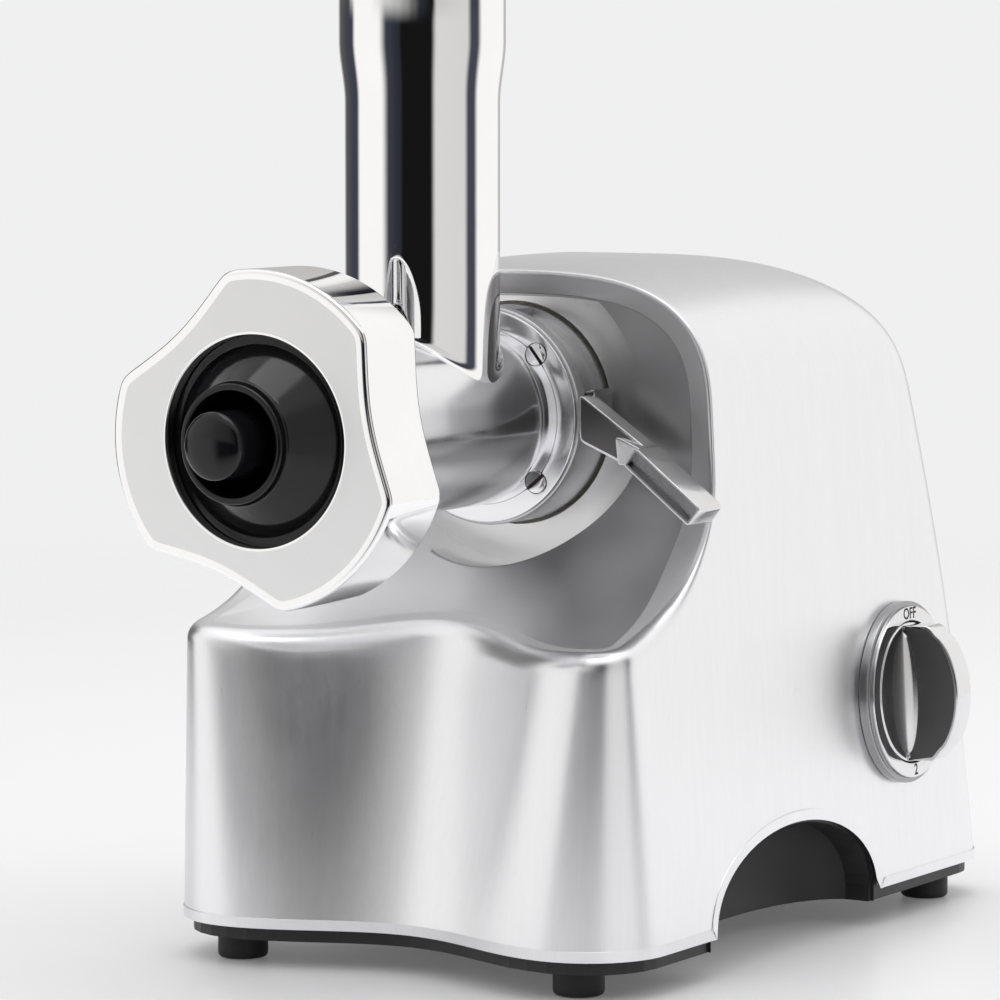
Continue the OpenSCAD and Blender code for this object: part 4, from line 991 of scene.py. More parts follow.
def screw_shell():
    """Four slotted screw heads: each half of a head is a grid from its middle out over the flat top,
    the chamfered rim and the side, with a dark floor between the halves that paints the slot's shade."""
    shell = Shell()
    top = cone_y(SCREW_AT) - 0.35
    r, gap, deep = SCREW_R - 0.25, 0.5, 1.2
    arc = np.linspace(math.asin(gap / r), np.pi - math.asin(gap / r), 25)
    chord = np.linspace(-1, 1, 9)[1:-1] * r * math.cos(arc[0])
    half = np.concatenate([circle(r, arc), points(chord, gap)])
    half_middle = np.array([0, r * 0.45])
    steps = ((0.999, top), (0.09, top), (0.03, top + 0.06), (0.0, top + 0.25), (0.0, top + 1.6))
    for turn_at in SCREW_TURNS:
        place = SCREW_AT * np.array([math.cos(turn_at), math.sin(turn_at)])
        lean = turn_at + math.radians(84)
        for flip in (1, -1):
            spin = flip * np.array([[math.cos(lean), math.sin(lean)], [-math.sin(lean), math.cos(lean)]])
            shell.grid([upright(place + mix(half, half_middle, inset) @ spin, y) for inset, y in steps],
                       wrap=True)
        # The slot's floor is a brown-black disc as painted shade.
        floor = [upright(place + circle(q, full_turn(24)), top + deep) for q in (0.01, r - 0.05)]
        shell.grid(floor, wrap=True, slot=1)
    return shell


def socket_shell():
    """Socket ring: a tube with rounded front edges and one long slot, whose four walls join the
    outside to the inside."""
    slot_a = np.linspace(SLOT_FROM, SLOT_TO, 46)
    angles = np.concatenate([slot_a, np.linspace(SLOT_TO, SLOT_FROM + 2 * np.pi, 122)[1:-1]])
    front, back = SOCKET_LOW[1], SOCKET_HIGH[1]
    mouth = [(SOCKET_R, y) for y in SLOT_Y]
    outer = soften([(LOCK_R, back), (LOCK_R, front, 0.5), (SOCKET_R, front, 0.8), *mouth, (SOCKET_R, back),
                    (LOCK_R, back)])
    first = np.where((outer == mouth[0]).all(axis=1))[0][0]
    keep = np.ones((len(outer) - 1, len(angles)), bool)
    keep[first, :45] = False
    shell = Shell().grid(turned_rows(outer, angles), wrap=True, keep=keep)
    for y in SLOT_Y:
        shell.grid(turned_rows([(SOCKET_R, y), (SLOT_FLOOR, y)], slot_a))
    for end in (SLOT_FROM, SLOT_TO):
        walls = [turned_rows([(r, y) for y in SLOT_Y], np.array([end])) for r in (SOCKET_R, SLOT_FLOOR)]
        shell.grid(np.concatenate(walls, axis=1))
    return shell


# ---- Lever ----
GRIP_DROP = math.radians(38)
GRIP_AT = (58.6, -11.2)


def loop(corners):
    """Closed outline through (x, z, fillet) corners."""
    return soften([corners[-1], *corners, corners[0]])[1:-1]


def slab(shell, outline, y0, y1, edge, place, pocket=None, face=1):
    """Adds a rounded plate: the outline carried from its back face, over a rounded edge, along its
    side, over the front edge and closed, or sunk into a pocket of (wall, depth). The front face has
    a finish of its own, which the lever and the knob use to paint shade on it."""
    x, z = outline.T
    if np.sum(x * np.roll(z, -1) - np.roll(x, -1) * z) < 0:
        outline = outline[::-1]
    normal = outward(outline)
    core = mix(outline, outline.mean(axis=0), 0.999)
    profile = soften([(-edge * 1.2, y1), (0, y1, edge), (0, y0, edge), (-edge * 1.2, y0)])
    steps = [(core, y1), *((outline + normal * q, y) for q, y in profile)]
    end = y0
    if pocket:
        wall, deep = pocket
        inner = outline - normal * wall
        end = y0 + deep
        steps += [(inner, y0), (inner - normal * 0.1, y0 + 0.3), (inner - normal * 0.1, end)]
    steps.append((core, end))
    rows = np.array([place(p[:, 0], np.full(len(p), y), p[:, 1]) for p, y in steps])
    cut = len(profile) + 1
    shell.grid(rows[:cut], wrap=True)
    shell.grid(rows[cut - 1:], wrap=True, slot=face)


def grip_place(u, y, v):
    """Local frame of the grip: u along it, falling away at the drop angle, v square to it."""
    x = GRIP_AT[0] + u * math.cos(GRIP_DROP) + v * math.sin(GRIP_DROP)
    return on_drive(x, GRIP_AT[1] - u * math.sin(GRIP_DROP) + v * math.cos(GRIP_DROP), y)


def axis_place(x, y, z):
    """Frame with x and z about the drive axis."""
    return on_drive(x, z, y)


def lever_shell():
    """Release lever: a curved root in the slot, a flat arm that narrows to the elbow, a knuckle over
    the elbow and a hollow grip that falls away from it, each a rounded plate."""
    shell = Shell()
    root_a = np.linspace(math.radians(-11), math.radians(14), 17)
    root = np.concatenate([circle(36, root_a), circle(31.3, root_a)[::-1]])
    # The root's and the arm's front faces take slot 1, a darker copy of the chrome as painted shade.
    slab(shell, root, SLOT_Y[0] + 0.6, SLOT_Y[1] - 0.6, 0.4, axis_place)
    arm = loop([(33.4, 8, 2.4), (33.4, -6.4, 1.8), (50, -13.2, 3), (56, -11.5, 2), (56.5, -7.5, 2.4)])
    slab(shell, arm, 34, 41.4, 0.7, axis_place)
    knuckle = loop([(49, -12.6, 1.2), (55, -12.5, 1.5), (57.6, -7.8, 2), (48, -3.8, 2)])
    slab(shell, knuckle, 30, 36, 0.7, axis_place, face=0)
    grip = loop([(-3.2, -3.4, 1.2), (24.8, -3.4, 1.2), (24.8, 3.4, 1.6), (-3.2, 3.4, 1.6)])
    # The grip's pocket face takes slot 2, a grey copy of the chrome as painted shade.
    slab(shell, grip, 24.5, 38, 0.5, grip_place, pocket=(1.1, 2.2), face=2)
    return shell


# ---- Switch ----
BEZEL_R, WELL_R, BEZEL_RISE = 28.7, 22.6, 4.5
SWITCH_Y, SWITCH_Z = 157.3, 71.9
LEAN = math.atan(WALL_LEAN)
KNOB_R, KNOB_LOW, KNOB_TOP, KNOB_OUT, BLADE_T = 22.2, 1.8, 4.3, 22.5, 9.8
SHOULDER_A, SHOULDER_C = 18.5, 15.6
MARK_R, MARK_SIZE = 24.7, 5.0


def at_switch(a, b, c):
    """Local frame of the switch: a down the wall, b backwards, c out of the wall."""
    x = wall_x(SWITCH_Z) + a * math.sin(LEAN) + c * math.cos(LEAN)
    return points(x, SWITCH_Y + b, SWITCH_Z - a * math.cos(LEAN) + c * math.sin(LEAN))


def bezel_shell():
    """Fixed ring in bands round its axis: a stepped outer side, a bright face for the marks and a well,
    closed through the panel behind. The outer side and the well are greyed as painted shade."""
    ledge, brim, shade = BEZEL_R - 0.9, BEZEL_R - 1.7, BEZEL_RISE - 0.5
    side = [(12, 0.1), (BEZEL_R, 0.1, 0.3), (BEZEL_R, 3, 0.5), (ledge, 3.05)]
    step = [(ledge, 3.05), (BEZEL_R - 1.5, 3.05, 0.3), (brim, shade)]
    face = [(brim, shade), (brim, BEZEL_RISE, 0.4), (WELL_R, BEZEL_RISE, 0.3), (WELL_R, BEZEL_RISE - 0.6)]
    well = [(WELL_R, BEZEL_RISE - 0.6), (WELL_R, 1.6, 0.3), (3.05, 1.5), (3.05, -8), (12, -8), (12, 0.1)]
    shell = Shell()
    for line, slot in ((side, 1), (step, 1), (face, 0), (well, 1)):
        shell.grid(turned(soften(line), at_switch, 144), wrap=True, slot=slot)
    return shell


def knob_shell():
    """Knob: a flat turned base and an upright blade whose outline is a flat-topped arch, with a
    fillet on each side where the blade meets the base."""
    shell = Shell()
    base = soften([(0.01, KNOB_LOW), (KNOB_R, KNOB_LOW, 0.3), (KNOB_R, KNOB_TOP, 1.6), (0.01, KNOB_TOP)])
    pin = soften([(3, 1.9), (3, -12, 0.5), (0.01, -12)])
    # The base's top takes slot 2, a grey copy of the chrome as painted shade.
    for line, count, slot in ((base[:-1], 120, 0), (base[-2:], 120, 2), (pin, 32, 0)):
        shell.grid(turned(line, at_switch, count), wrap=True, slot=slot)
    t = np.linspace(-1, 1, 25)
    arch = points(t * SHOULDER_A, SHOULDER_C + (KNOB_OUT - SHOULDER_C) * (1 - t ** 2) ** 0.75)
    lower = soften([(SHOULDER_A, SHOULDER_C), (21.4, 13.2, 2.2), (21.3, 4.0),
                    (-21.3, 4.0), (-21.4, 13.2, 2.2), (-SHOULDER_A, SHOULDER_C)])
    # The blade's front face takes slot 1, a darker copy of the chrome as painted shade.
    slab(shell, np.concatenate([arch, lower[1:-1]]), -BLADE_T / 2, BLADE_T / 2, 0.9, at_switch)
    along, foot = np.linspace(-1, 1, 33), KNOB_TOP - 0.05
    reach = np.sqrt(np.maximum(0, 1 - along ** 2))
    for side in (-1, 1):
        a, b = along * 19.5, side * (BLADE_T / 2 - 0.1)
        low = at_switch(a, b + side * 9.5 * reach, foot)
        corner = at_switch(a, b + side * 1.5 * reach, foot + 0.3 * reach)
        shell.grid(bend(low, corner, at_switch(a, b, foot + 4.5 * reach), 8), slot=3)
    return shell


def word_mesh(word, size):
    """Letters of a word as flat points and the faces between them."""
    curve = bpy.data.curves.new("Mark", "FONT")
    curve.body, curve.size, curve.align_x, curve.align_y = word, size, "CENTER", "CENTER"
    curve.resolution_u, curve.offset = 3, 0.02 * size
    holder = bpy.data.objects.new("Mark", curve)
    bpy.context.scene.collection.objects.link(holder)
    bpy.context.view_layer.update()
    flat = holder.to_mesh()
    spots = np.empty(len(flat.vertices) * 3)
    flat.vertices.foreach_get("co", spots)
    faces = [tuple(p.vertices) for p in flat.polygons]
    holder.to_mesh_clear()
    bpy.data.objects.remove(holder)
    bpy.data.curves.remove(curve)
    return spots.reshape(-1, 3), faces


def marks_piece(material):
    """Dial marks on the bezel's face, read from the front with the letters upright."""
    spots, faces = [], []
    for word, turn_at in (("OFF", 0.0), ("1", 0.5 * math.pi), ("2", math.pi)):
        flat, fans = word_mesh(word, MARK_SIZE)
        start = sum(len(group) for group in spots)
        faces += [tuple(i + start for i in fan) for fan in fans]
        spots.append(at_switch(-(MARK_R * math.cos(turn_at) + flat[:, 1]),
                               MARK_R * math.sin(turn_at) + flat[:, 0], BEZEL_RISE + 0.03))
    mesh = bpy.data.meshes.new("dial_marks")
    mesh.from_pydata(np.concatenate(spots) * MM, [], faces)
    return new_piece("dial_marks", mesh, [material])


# ---- Tray and pusher ----
TRAY_CORNER, TRAY_WALL, TRAY_Y, TRAY_LEAN, TRAY_ROLL = 26.0, 1.8, -6.0, 23.0, 0.9


def tray_loop(width, depth, z, arc=14, side=12):
    """Rounded rectangle at a height: four corner arcs joined by straight sides."""
    w, d = width / 2 - TRAY_CORNER, depth / 2 - TRAY_CORNER
    quarter = [points(sx * w, sy * d) + circle(TRAY_CORNER, np.linspace(0, np.pi / 2, arc) + k * np.pi / 2)
               for k, (sx, sy) in enumerate(((1, 1), (-1, 1), (-1, -1), (1, -1)))]
    parts = []
    for here, after in zip(quarter, quarter[1:] + quarter[:1]):
        parts += [here, mix(here[-1], after[0], np.linspace(0, 1, side)[1:-1, None])]
    flat = np.concatenate(parts)
    return points(flat[:, 0], flat[:, 1] + TRAY_Y, z)


def tray_shell():
    """Hopper tray: rounded rectangles widening upwards outside and inside with a rolled rim, a floor
    that closes onto the round spout, and the spout's two walls. Each loop is given by how much
    smaller it is than the tray, and its height."""
    low, high = TUBE_TOP + 0.3, TRAY_HIGH[2]
    floor, brim = low + TRAY_WALL, high - TRAY_ROLL
    width, depth = TRAY_HIGH[0] * 2, TRAY_HIGH[1] - TRAY_LOW[1]
    turns, shares = np.linspace(0, np.pi / 2, 6), np.linspace(0.15, 1, 5)
    loops = [(26 + 10 * (1 - math.sin(t)), low + 5 * (1 - math.cos(t))) for t in turns]
    loops += [(TRAY_LEAN * (1 - t), mix(low + 5, brim, t)) for t in shares]
    loops += [(2 * TRAY_ROLL * (1 - math.cos(t)), brim + TRAY_ROLL * math.sin(t))
              for t in np.linspace(0, np.pi, 7)[1:]]
    loops += [(4 * TRAY_ROLL + TRAY_LEAN * (1 - t), mix(low + 5, brim, t)) for t in shares[-2::-1]]
    loops += [(29 + 12 * (1 - math.sin(t)), floor + 4.5 * (1 - math.cos(t))) for t in turns[::-1]]
    rows = [tray_loop(width - less, depth - less, z) for less, z in loops]
    a = np.arctan2(rows[0][:, 1], rows[0][:, 0])
    spout = soften([(THROAT_R + 8, floor), (THROAT_R, floor, 1.2), (THROAT_R, TRAY_LOW[2], 0.3),
                    (COLLAR_R - 2.5, TRAY_LOW[2], 0.3), (COLLAR_R - 2.5, low, 0.5), (COLLAR_R + 8, low)])
    rows += [points(r * np.cos(a), r * np.sin(a), z) for r, z in spout]
    return Shell().grid([*rows, rows[0]], wrap=True)


def pusher_profile():
    """Pusher: a hollow stem with a guard flange near the top and a rolled upper rim."""
    low, high = PUSHER_LOW[2], PUSHER_HIGH[2]
    r, guard = THROAT_R - 0.5, TUBE_TOP + 2.4
    stem = [(0.01, low), (r, low, 2.0), (r, guard, 0.8)]
    flange = [(r + 8, guard, 0.9), (r + 8, guard + 3, 0.9), (r, guard + 3, 1.2)]
    rim = [(r, high - 4, 0.8), (r + 3, high - 4, 1.2), (r + 3, high, 1.2), (r - 2.4, high, 0.8)]
    return [*stem, *flange, *rim, (r - 2.4, low + 3, 2.0), (0.01, low + 3)]


# ---- Feet, recess liners and gland ----
FOOT_R, FOOT_BORE, FOOT_RECESS = 7.6, 2.05, 4.2
FOOT_PLACES = ((59.0, -9.0), (-59.0, -9.0), (68.5, 196.0), (-68.5, 196.0))
LINER_POW = 2.6


def feet_shell():
    """Four turned rubber feet with a rounded sole and a screw recess."""
    shell = Shell()
    high = FEET_HIGH[2]
    profile = soften([(FOOT_BORE, high), (FOOT_BORE, 4), (FOOT_RECESS, 4), (FOOT_RECESS, 0.2, 0.5),
                      (FOOT_R, 0.2, 1.6), (FOOT_R, high, 0.6), (FOOT_BORE, high)])
    for place in FOOT_PLACES:
        shell.grid(turned(profile, points, 48) + np.array([*place, 0]), wrap=True)
    return shell


def arch_liner(side):
    """Smooth liner of one side's finger recess: half ellipses over the recess, each smaller than the
    last while the depth follows a superellipse, and a level strip that closes it along the bottom."""
    mouth, deep, low = wall_x(BOTTOM) - 1.9, 24.0, FEET_HIGH[2] + 0.02
    size = np.cos(np.linspace(0, np.pi / 2, 22)) ** 0.8
    depth = (1 - size ** LINER_POW) ** (1 / LINER_POW)
    a = np.linspace(0, np.pi, 61)
    rows = []
    for q, t in zip(size, depth):
        arch = points(ARCH_Y - (ARCH_A - 0.3) * q * np.cos(a), BOTTOM + (ARCH_B - 0.3) * q * np.sin(a))
        line = np.concatenate([[(arch[0, 0], low)], arch, [(arch[-1, 0], low)]])
        rows.append(points(side * (mouth - deep * t), line[:, 0], line[:, 1]))
    rows = np.array(rows)
    edge = np.concatenate([rows[:, 0], rows[::-1, -1]])
    wall = edge.copy()
    wall[:, 0] = side * (mouth - deep - 1.2)
    return Shell().grid(rows).grid([edge, wall])


def gland_profile():
    """Cable gland: a threaded-looking neck through the wall and a rounded flange."""
    y0, y1 = GLAND_LOW[1], GLAND_HIGH[1]
    return [(3.6, y0), (6, y0, 0.4), (6, y1 - 4.4), (9, y1 - 4.4, 0.3), (9, y1 - 1.5, 1.0),
            (6.2, y1 - 1.4, 0.3), (5.2, y1, 0.5), (3.6, y1, 0.5)]


def at_gland(across, up, along):
    """Local frame of the gland: along is backwards."""
    centre = (GLAND_LOW + GLAND_HIGH) / 2
    return points(across + centre[0], along, up + centre[2])


# ---- Finishes of the CAD nodes that stay ----
CAD_FINISHES = {
    "black_matt": ("base_pan", "vent_panel", "fan", "switch_body"),
    "nylon": ("gearbox_case", "gearbox_cover", "output_gear", "idler_gear", "board_standoffs"),
    "bronze": ("output_bushes", "idler_bushes"),
    "plain_steel": ("output_shaft", "idler_shaft", "rotor_shaft", "cover_screws", "chassis_screws",
                    "base_screws", "motor_bolts", "motor_bearings", "auger_pin"),
    "satin_chrome": ("lock_ring",),
    "rubber": ("motor_mounts",),
    "copper": ("field_coils", "rotor_winding", "commutator"),
    "lamination": ("stator", "rotor_core"),
    "carbon": ("brushes",),
    "satin_alloy": ("auger", "motor_end_bracket", "brush_holders"),
    "black_gloss": ("auger_coupler",),
    "board": ("control_board",),
}


def finish_node(node, material):
    """Gives a CAD node its finish through its object's material slots."""
    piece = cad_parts[node]
    if not piece.material_slots:
        piece.data.materials.append(material)
    for slot in piece.material_slots:
        slot.link = "OBJECT"
        slot.material = material


# ---- Stage ----
# Tone of the studio by (compass direction in degrees, tone), at the horizon and above it
SURROUNDINGS = (
    (-180, 0.06), (-172, 0.06), (-163, 1.0), (-122, 1.0), (-108, 0.05), (-91, 0.03), (-86, 0.008),
    (-46, 0.008), (-37, 0.72), (6, 0.70), (15, 0.07), (24, 0.07), (34, 1.0), (88, 1.0), (100, 0.5),
    (134, 0.5), (150, 0.10), (180, 0.06),
)
UPPER_SURROUNDINGS = (
    (-180, 0.20), (-174, 0.70), (-166, 1.0), (-134, 1.0), (-124, 0.88), (-108, 0.62), (-92, 0.50),
    (-80, 0.33), (-70, 0.14), (-60, 0.03), (-44, 0.01), (-37, 0.62), (6, 0.68), (15, 0.06), (24, 0.06),
    (34, 1.0), (88, 1.0), (102, 0.6), (134, 0.5), (150, 0.12), (180, 0.10),
)
# Where the upper bands and then the sky take over, as the upward part of a direction
HORIZON, OVERHEAD = (0.02, 0.07), (0.5, 0.75)
BACKGROUND, SKY = 0.87, 1.05
# The floor's glow for the camera and for mirrors, its middle, its reach, and where it fades, in metres
FLOOR_LIFT, FLOOR_AT, FLOOR_REACH, FLOOR_FADE = 0.12, (-0.12, 0.3), 1.6, (0.55, 1.15)


def tone_ring(tree, split, stops):
    """Colour ramp of tones by compass direction, from (angle in degrees, tone) stops; the darkest
    greys are bluish."""
    turn = maths(tree, "ARCTAN2", split["Y"], split["X"])
    share = maths(tree, "ADD", maths(tree, "DIVIDE", turn, 2 * math.pi), 0.5)
    ring = add_node(tree, "ValToRGB", {0: share})
    ramp = ring.color_ramp
    ramp.interpolation = "EASE"
    for i, (angle, tone) in enumerate(stops):
        spot = ramp.elements[i] if i < 2 else ramp.elements.new(1.0)
        spot.position = angle / 360 + 0.5
        tint = (0.85, 0.92, 1.25) if 0.02 < tone < 0.1 else (1.0, 0.99, 0.975)
        spot.color = (*(tone * part for part in tint), 1)
    return ring.outputs["Color"]


def blend(tree, factor, a, b):
    """Colour mixed from a to b by a factor."""
    values = {"Factor": factor, "A": a, "B": b}
    return add_node(tree, "Mix", values, data_type="RGBA").outputs["Result"]


def make_world(level):
    """Studio surroundings: bands of tone by compass direction, one set near the horizon and one
    above it, paler overhead, and a flat pale background for what the camera sees directly."""
    world = bpy.data.worlds.new("Studio")
    bpy.context.scene.world = world
    world.use_nodes = True
    tree = world.node_tree
    tree.nodes.clear()
    place = add_node(tree, "TexCoord").outputs["Generated"]
    split = add_node(tree, "SeparateXYZ", {0: place}).outputs
    rings = [tone_ring(tree, split, stops) for stops in (SURROUNDINGS, UPPER_SURROUNDINGS)]
    bands = blend(tree, smooth_fall(tree, split["Z"], *HORIZON), *rings)
    sky = blend(tree, smooth_fall(tree, split["Z"], *OVERHEAD), bands, (SKY, SKY, SKY, 1))
    around = add_node(tree, "Background", {"Strength": level, "Color": sky})
    plain = add_node(tree, "Background", {"Color": (BACKGROUND, BACKGROUND, BACKGROUND * 1.01, 1)})
    seen = add_node(tree, "LightPath").outputs["Is Camera Ray"]
    pick = add_node(tree, "MixShader", {0: seen, 1: around.outputs[0], 2: plain.outputs[0]})
    add_node(tree, "OutputWorld", {"Surface": pick.outputs[0]})


def make_floor(colour):
    """Pale slightly glossy floor, a disc that fades out with distance so that no horizon shows."""
    r = np.concatenate([[0.0005], np.linspace(0.05, FLOOR_REACH, 36)])[:, None]
    a = full_turn(96)
    rows = points(r * np.cos(a) + FLOOR_AT[0], r * np.sin(a) + FLOOR_AT[1], 0.0) / MM
    finish = Finish("Pale floor", tuple(colour), 0.0, 0.35)
    skin = finish.use(moulded_group, Peel_scale=20.0)
    finish.vary([(skin["Gloss"], 0.06)])
    tree = finish.tree
    away = add_node(tree, "VectorMath", {0: object_place(tree), 1: (*FLOOR_AT, 0)}, operation="SUBTRACT")
    far = add_node(tree, "VectorMath", {0: away.outputs[0]}, operation="LENGTH").outputs["Value"]
    seen = add_node(tree, "LightPath").outputs
    direct = maths(tree, "MAXIMUM", seen["Is Camera Ray"], seen["Is Glossy Ray"])
    finish.set({"Alpha": smooth_fall(tree, far, *FLOOR_FADE, 1.0, 0.0), "Emission Color": (*colour, 1),
                "Emission Strength": maths(tree, "MULTIPLY", direct, FLOOR_LIFT)})
    MATERIALS["floor"] = finish.material
    floor = Shell().grid(rows, wrap=True).build("floor", ["floor"], out=False)


def make_lamp(name, place, aim, size, power):
    """Square soft lamp turned towards a point."""
    lamp = bpy.data.lights.new(name, "AREA")
    lamp.energy, lamp.size = power, size
    holder = bpy.data.objects.new(name, lamp)
    bpy.context.scene.collection.objects.link(holder)
    holder.location = place
    holder.rotation_euler = (Vector(aim) - Vector(place)).to_track_quat("-Z", "Y").to_euler()


def make_camera():
    """Long lens from the front right, a little above the drive axis."""
    aim = Vector((0.01942, 0.01189, 0.14079))
    turn, rise, away = math.radians(31.467), math.radians(4.989), 1.4277
    data = bpy.data.cameras.new("Camera")
    data.sensor_width, data.lens = 36.0, 173.82
    data.clip_start, data.clip_end = 0.01, 20
    camera = bpy.data.objects.new("Camera", data)
    bpy.context.scene.collection.objects.link(camera)
    offset = Vector((math.sin(turn) * math.cos(rise), -math.cos(turn) * math.cos(rise), math.sin(rise)))
    camera.location = aim + offset * away
    camera.rotation_euler = (-offset).to_track_quat("-Z", "Y").to_euler()
    bpy.context.scene.camera = camera


# ---- Settings ----
class GrinderSizes(bpy.types.PropertyGroup):
    """Sizes of the visible details."""

    sheet: bpy.props.FloatProperty(name="Sheet", description="Thickness of the hood's steel sheet",
                                   default=0.0015, min=0.0005, max=0.003, unit="LENGTH")
    nut_edge: bpy.props.FloatProperty(name="Nut edge", description="Roundness of the nut's front edge",
                                      default=0.0028, min=0.001, max=0.005, unit="LENGTH")
    tube_fillet: bpy.props.FloatProperty(name="Tube fillet", description="Fillet between tube and barrel",
                                         default=0.002, min=0.001, max=0.005, unit="LENGTH")


class GrinderColours(bpy.types.PropertyGroup):
    """Colours and light that a user would change."""

    steel: bpy.props.FloatVectorProperty(name="Steel", description="Tone of the brushed steel sheet",
                                         default=(0.87, 0.87, 0.885), subtype="COLOR", min=0, max=1)
    plastic: bpy.props.FloatVectorProperty(name="Plastic", description="Tone of the black plastic",
                                           default=(0.006, 0.006, 0.007), subtype="COLOR", min=0, max=1)
    floor: bpy.props.FloatVectorProperty(name="Floor", description="Colour of the floor",
                                         default=(0.84, 0.84, 0.85), subtype="COLOR", min=0, max=1)
    surroundings: bpy.props.FloatProperty(name="Surroundings", description="Brightness of the studio bands",
                                          default=1.0, min=0.2, max=2.0, subtype="FACTOR")


# ---- Operators ----
class GRINDER_OT_finishes(bpy.types.Operator):
    """Makes every finish and gives the CAD nodes that stay theirs"""

    bl_idname = "grinder.finishes"
    bl_label = "Finishes"

    def execute(self, context):
        make_materials(context.scene.grinder_colours)
        for finish, nodes in CAD_FINISHES.items():
            for node in nodes:
                finish_node(node, MATERIALS[finish])
        return {"FINISHED"}


class GRINDER_OT_hood(bpy.types.Operator):
    """Builds the steel hood"""

    bl_idname = "grinder.hood"
    bl_label = "Hood"

    def execute(self, context):
        finishes = ("sheet_upright", "sheet_recess", "seat_satin", "sheet_band")
        piece = hood_shell().build("hood_skin", finishes, sharp=50)
        wall = piece.modifiers.new("Sheet", "SOLIDIFY")
        wall.thickness = context.scene.grinder_sizes.sheet
        wall.offset = -1
        wall.use_even_offset = False
        finish_piece(piece, "housing", "hood")
        return {"FINISHED"}


class GRINDER_OT_base(bpy.types.Operator):
    """Builds the feet, the liners of the finger recesses and the cable gland"""

    bl_idname = "grinder.base"
    bl_label = "Feet and gland"

    def execute(self, context):
        finish_piece(feet_shell().build("rubber_feet", ["rubber"]), "housing", "feet")
        for side, name in ((1, "recess_liner_right"), (-1, "recess_liner_left")):
            finish_piece(arch_liner(side).build(name, ["black_matt"], out=False), "housing")
        bored_solid("gland", gland_profile(), at_gland, "black_matt", "housing", "cable_gland", 48)
        return {"FINISHED"}


class GRINDER_OT_head(bpy.types.Operator):
    """Builds the grinding head's casting"""

    bl_idname = "grinder.head"
    bl_label = "Head"

    def execute(self, context):
        shell = head_shell(context.scene.grinder_sizes.tube_fillet / MM)
        piece = shell.build("head", ["polished_alloy", "turned_alloy"], out=False)
        finish_piece(piece, "head", "head_casting")
        return {"FINISHED"}


class GRINDER_OT_coupling(bpy.types.Operator):
    """Builds the bayonet ring with its screws, and the socket ring"""

    bl_idname = "grinder.coupling"
    bl_label = "Bayonet coupling"

    def execute(self, context):
        finish_piece(ring_shell().build("bayonet", ["turned_alloy"]), "head", "bayonet_ring")
        finish_piece(screw_shell().build("slotted_screws", ["chrome", "slot_brown"]), "head", "ring_screws")
        finish_piece(socket_shell().build("socket", ["socket"], out=False), "housing", "socket_ring")
        return {"FINISHED"}


class GRINDER_OT_nut(bpy.types.Operator):
    """Builds the clamping nut"""

    bl_idname = "grinder.nut"
    bl_label = "Clamping nut"

    def execute(self, context):
        shell = nut_shell(context.scene.grinder_sizes.nut_edge / MM)
        finish_piece(shell.build("clamping_nut", ["polished_alloy", "satin_alloy"]), "nut", "nut")
        return {"FINISHED"}


class GRINDER_OT_kubbe(bpy.types.Operator):
    """Builds the shaping tube and its inner pin"""

    bl_idname = "grinder.kubbe"
    bl_label = "Kubbe attachment"

    def execute(self, context):
        bored_solid("shaping_tube", shaper_profile(), on_drive, "black_gloss", "attachment", "kubbe_shaper",
                    count=144)
        finish_piece(cone_shell().build("inner_pin", ["black_gloss"]), "attachment", "kubbe_cone")
        return {"FINISHED"}


class GRINDER_OT_lever(bpy.types.Operator):
    """Builds the release lever"""

    bl_idname = "grinder.lever"
    bl_label = "Release lever"

    def execute(self, context):
        # Slots 1 and 2 are darker copies of the chrome as painted shade on the front faces and the grip's
        # pocket.
        finishes = ("satin_chrome", "smoked_chrome", "grey_chrome")
        finish_piece(lever_shell().build("lever", finishes), "lever", "release_lever")
        return {"FINISHED"}


class GRINDER_OT_switch(bpy.types.Operator):
    """Builds the bezel with its marks, and the knob"""

    bl_idname = "grinder.switch"
    bl_label = "Switch"

    def execute(self, context):
        # The bezel's outer side and well take a grey copy of the chrome as painted shade.
        finish_piece(bezel_shell().build("bezel_ring", ["chrome", "grey_chrome"]), "housing", "bezel")
        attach(marks_piece(MATERIALS["mark"]), "housing")
        finishes = ("chrome", "smoked_chrome", "grey_chrome", "satin_chrome")
        finish_piece(knob_shell().build("switch_knob", finishes, sharp=30), "switch_knob", "knob")
        return {"FINISHED"}


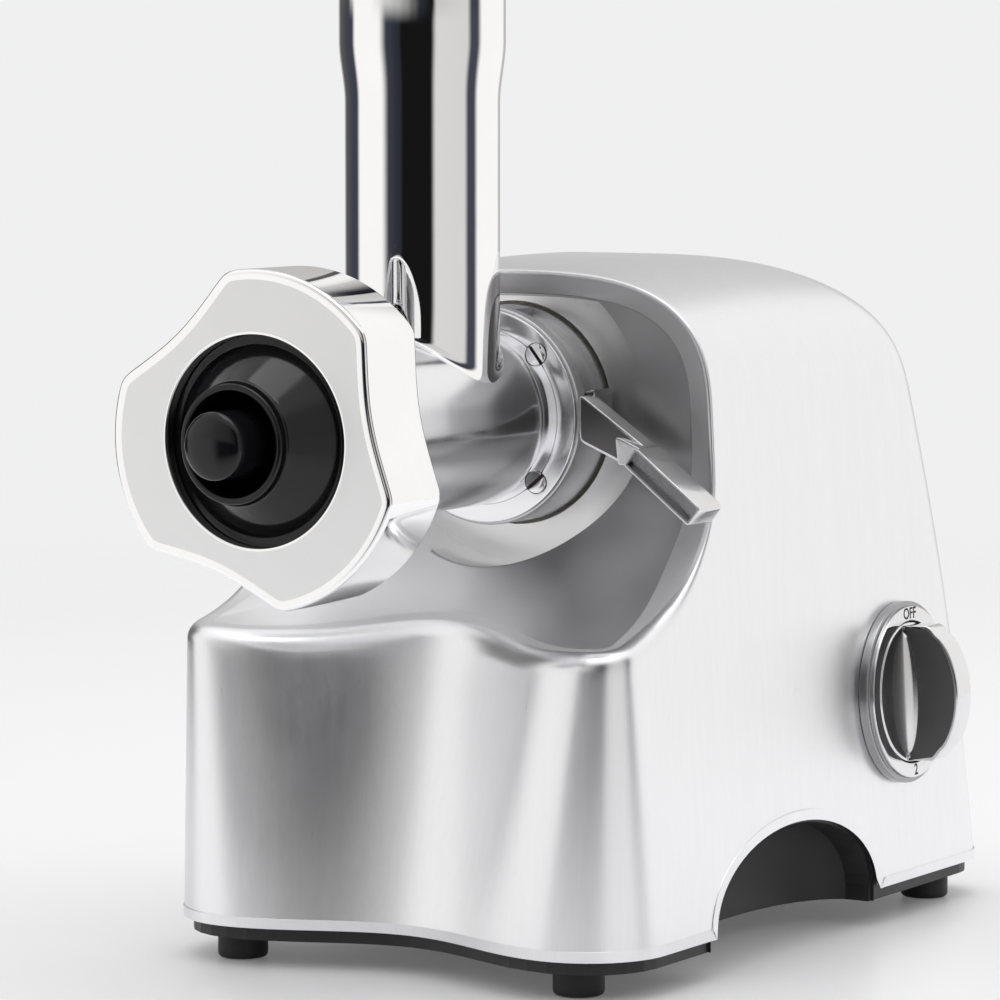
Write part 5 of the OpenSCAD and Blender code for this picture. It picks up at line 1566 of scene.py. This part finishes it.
class GRINDER_OT_tray(bpy.types.Operator):
    """Builds the hopper tray and the pusher"""

    bl_idname = "grinder.tray"
    bl_label = "Tray and pusher"

    def execute(self, context):
        finish_piece(tray_shell().build("tray", ["satin_alloy"]), "tray", "hopper_tray")
        bored_solid("pusher_stem", pusher_profile(), points, "black_gloss", "pusher", "pusher")
        return {"FINISHED"}


class GRINDER_OT_stage(bpy.types.Operator):
    """Sets the floor, the surroundings, the lamps and the camera"""

    bl_idname = "grinder.stage"
    bl_label = "Stage"

    def execute(self, context):
        colours = context.scene.grinder_colours
        make_world(colours.surroundings)
        make_floor(colours.floor)
        make_lamp("Overhead", place=(0.1, -0.1, 1.7), aim=(0, 0.05, 0.1), size=1.2, power=9)
        make_camera()
        context.scene.view_settings.view_transform = "Standard"
        return {"FINISHED"}


OPERATORS = (GRINDER_OT_finishes, GRINDER_OT_hood, GRINDER_OT_base, GRINDER_OT_head, GRINDER_OT_coupling,
             GRINDER_OT_nut, GRINDER_OT_kubbe, GRINDER_OT_lever, GRINDER_OT_switch, GRINDER_OT_tray,
             GRINDER_OT_stage)


class GRINDER_PT_panel(bpy.types.Panel):
    """Lists the grinder's settings and pieces in the sidebar"""

    bl_idname = "GRINDER_PT_panel"
    bl_label = "Meat grinder"
    bl_space_type = "VIEW_3D"
    bl_region_type = "UI"
    bl_category = "Grinder"

    def draw(self, context):
        for settings in (context.scene.grinder_sizes, context.scene.grinder_colours):
            for name in settings.__annotations__:
                self.layout.prop(settings, name)
        for operator in OPERATORS:
            self.layout.operator(operator.bl_idname)


CLASSES = (GrinderSizes, GrinderColours, *OPERATORS, GRINDER_PT_panel)


def register():
    """Registers the classes and puts the settings on the scene."""
    for item in CLASSES:
        bpy.utils.register_class(item)
    bpy.types.Scene.grinder_sizes = bpy.props.PointerProperty(type=GrinderSizes)
    bpy.types.Scene.grinder_colours = bpy.props.PointerProperty(type=GrinderColours)


def unregister():
    """Takes the settings and the classes away again."""
    del bpy.types.Scene.grinder_colours
    del bpy.types.Scene.grinder_sizes
    for item in reversed(CLASSES):
        bpy.utils.unregister_class(item)


def main():
    register()
    for operator in OPERATORS:
        group, name = operator.bl_idname.split(".")
        getattr(getattr(bpy.ops, group), name)()


if __name__ == "__main__":
    main()
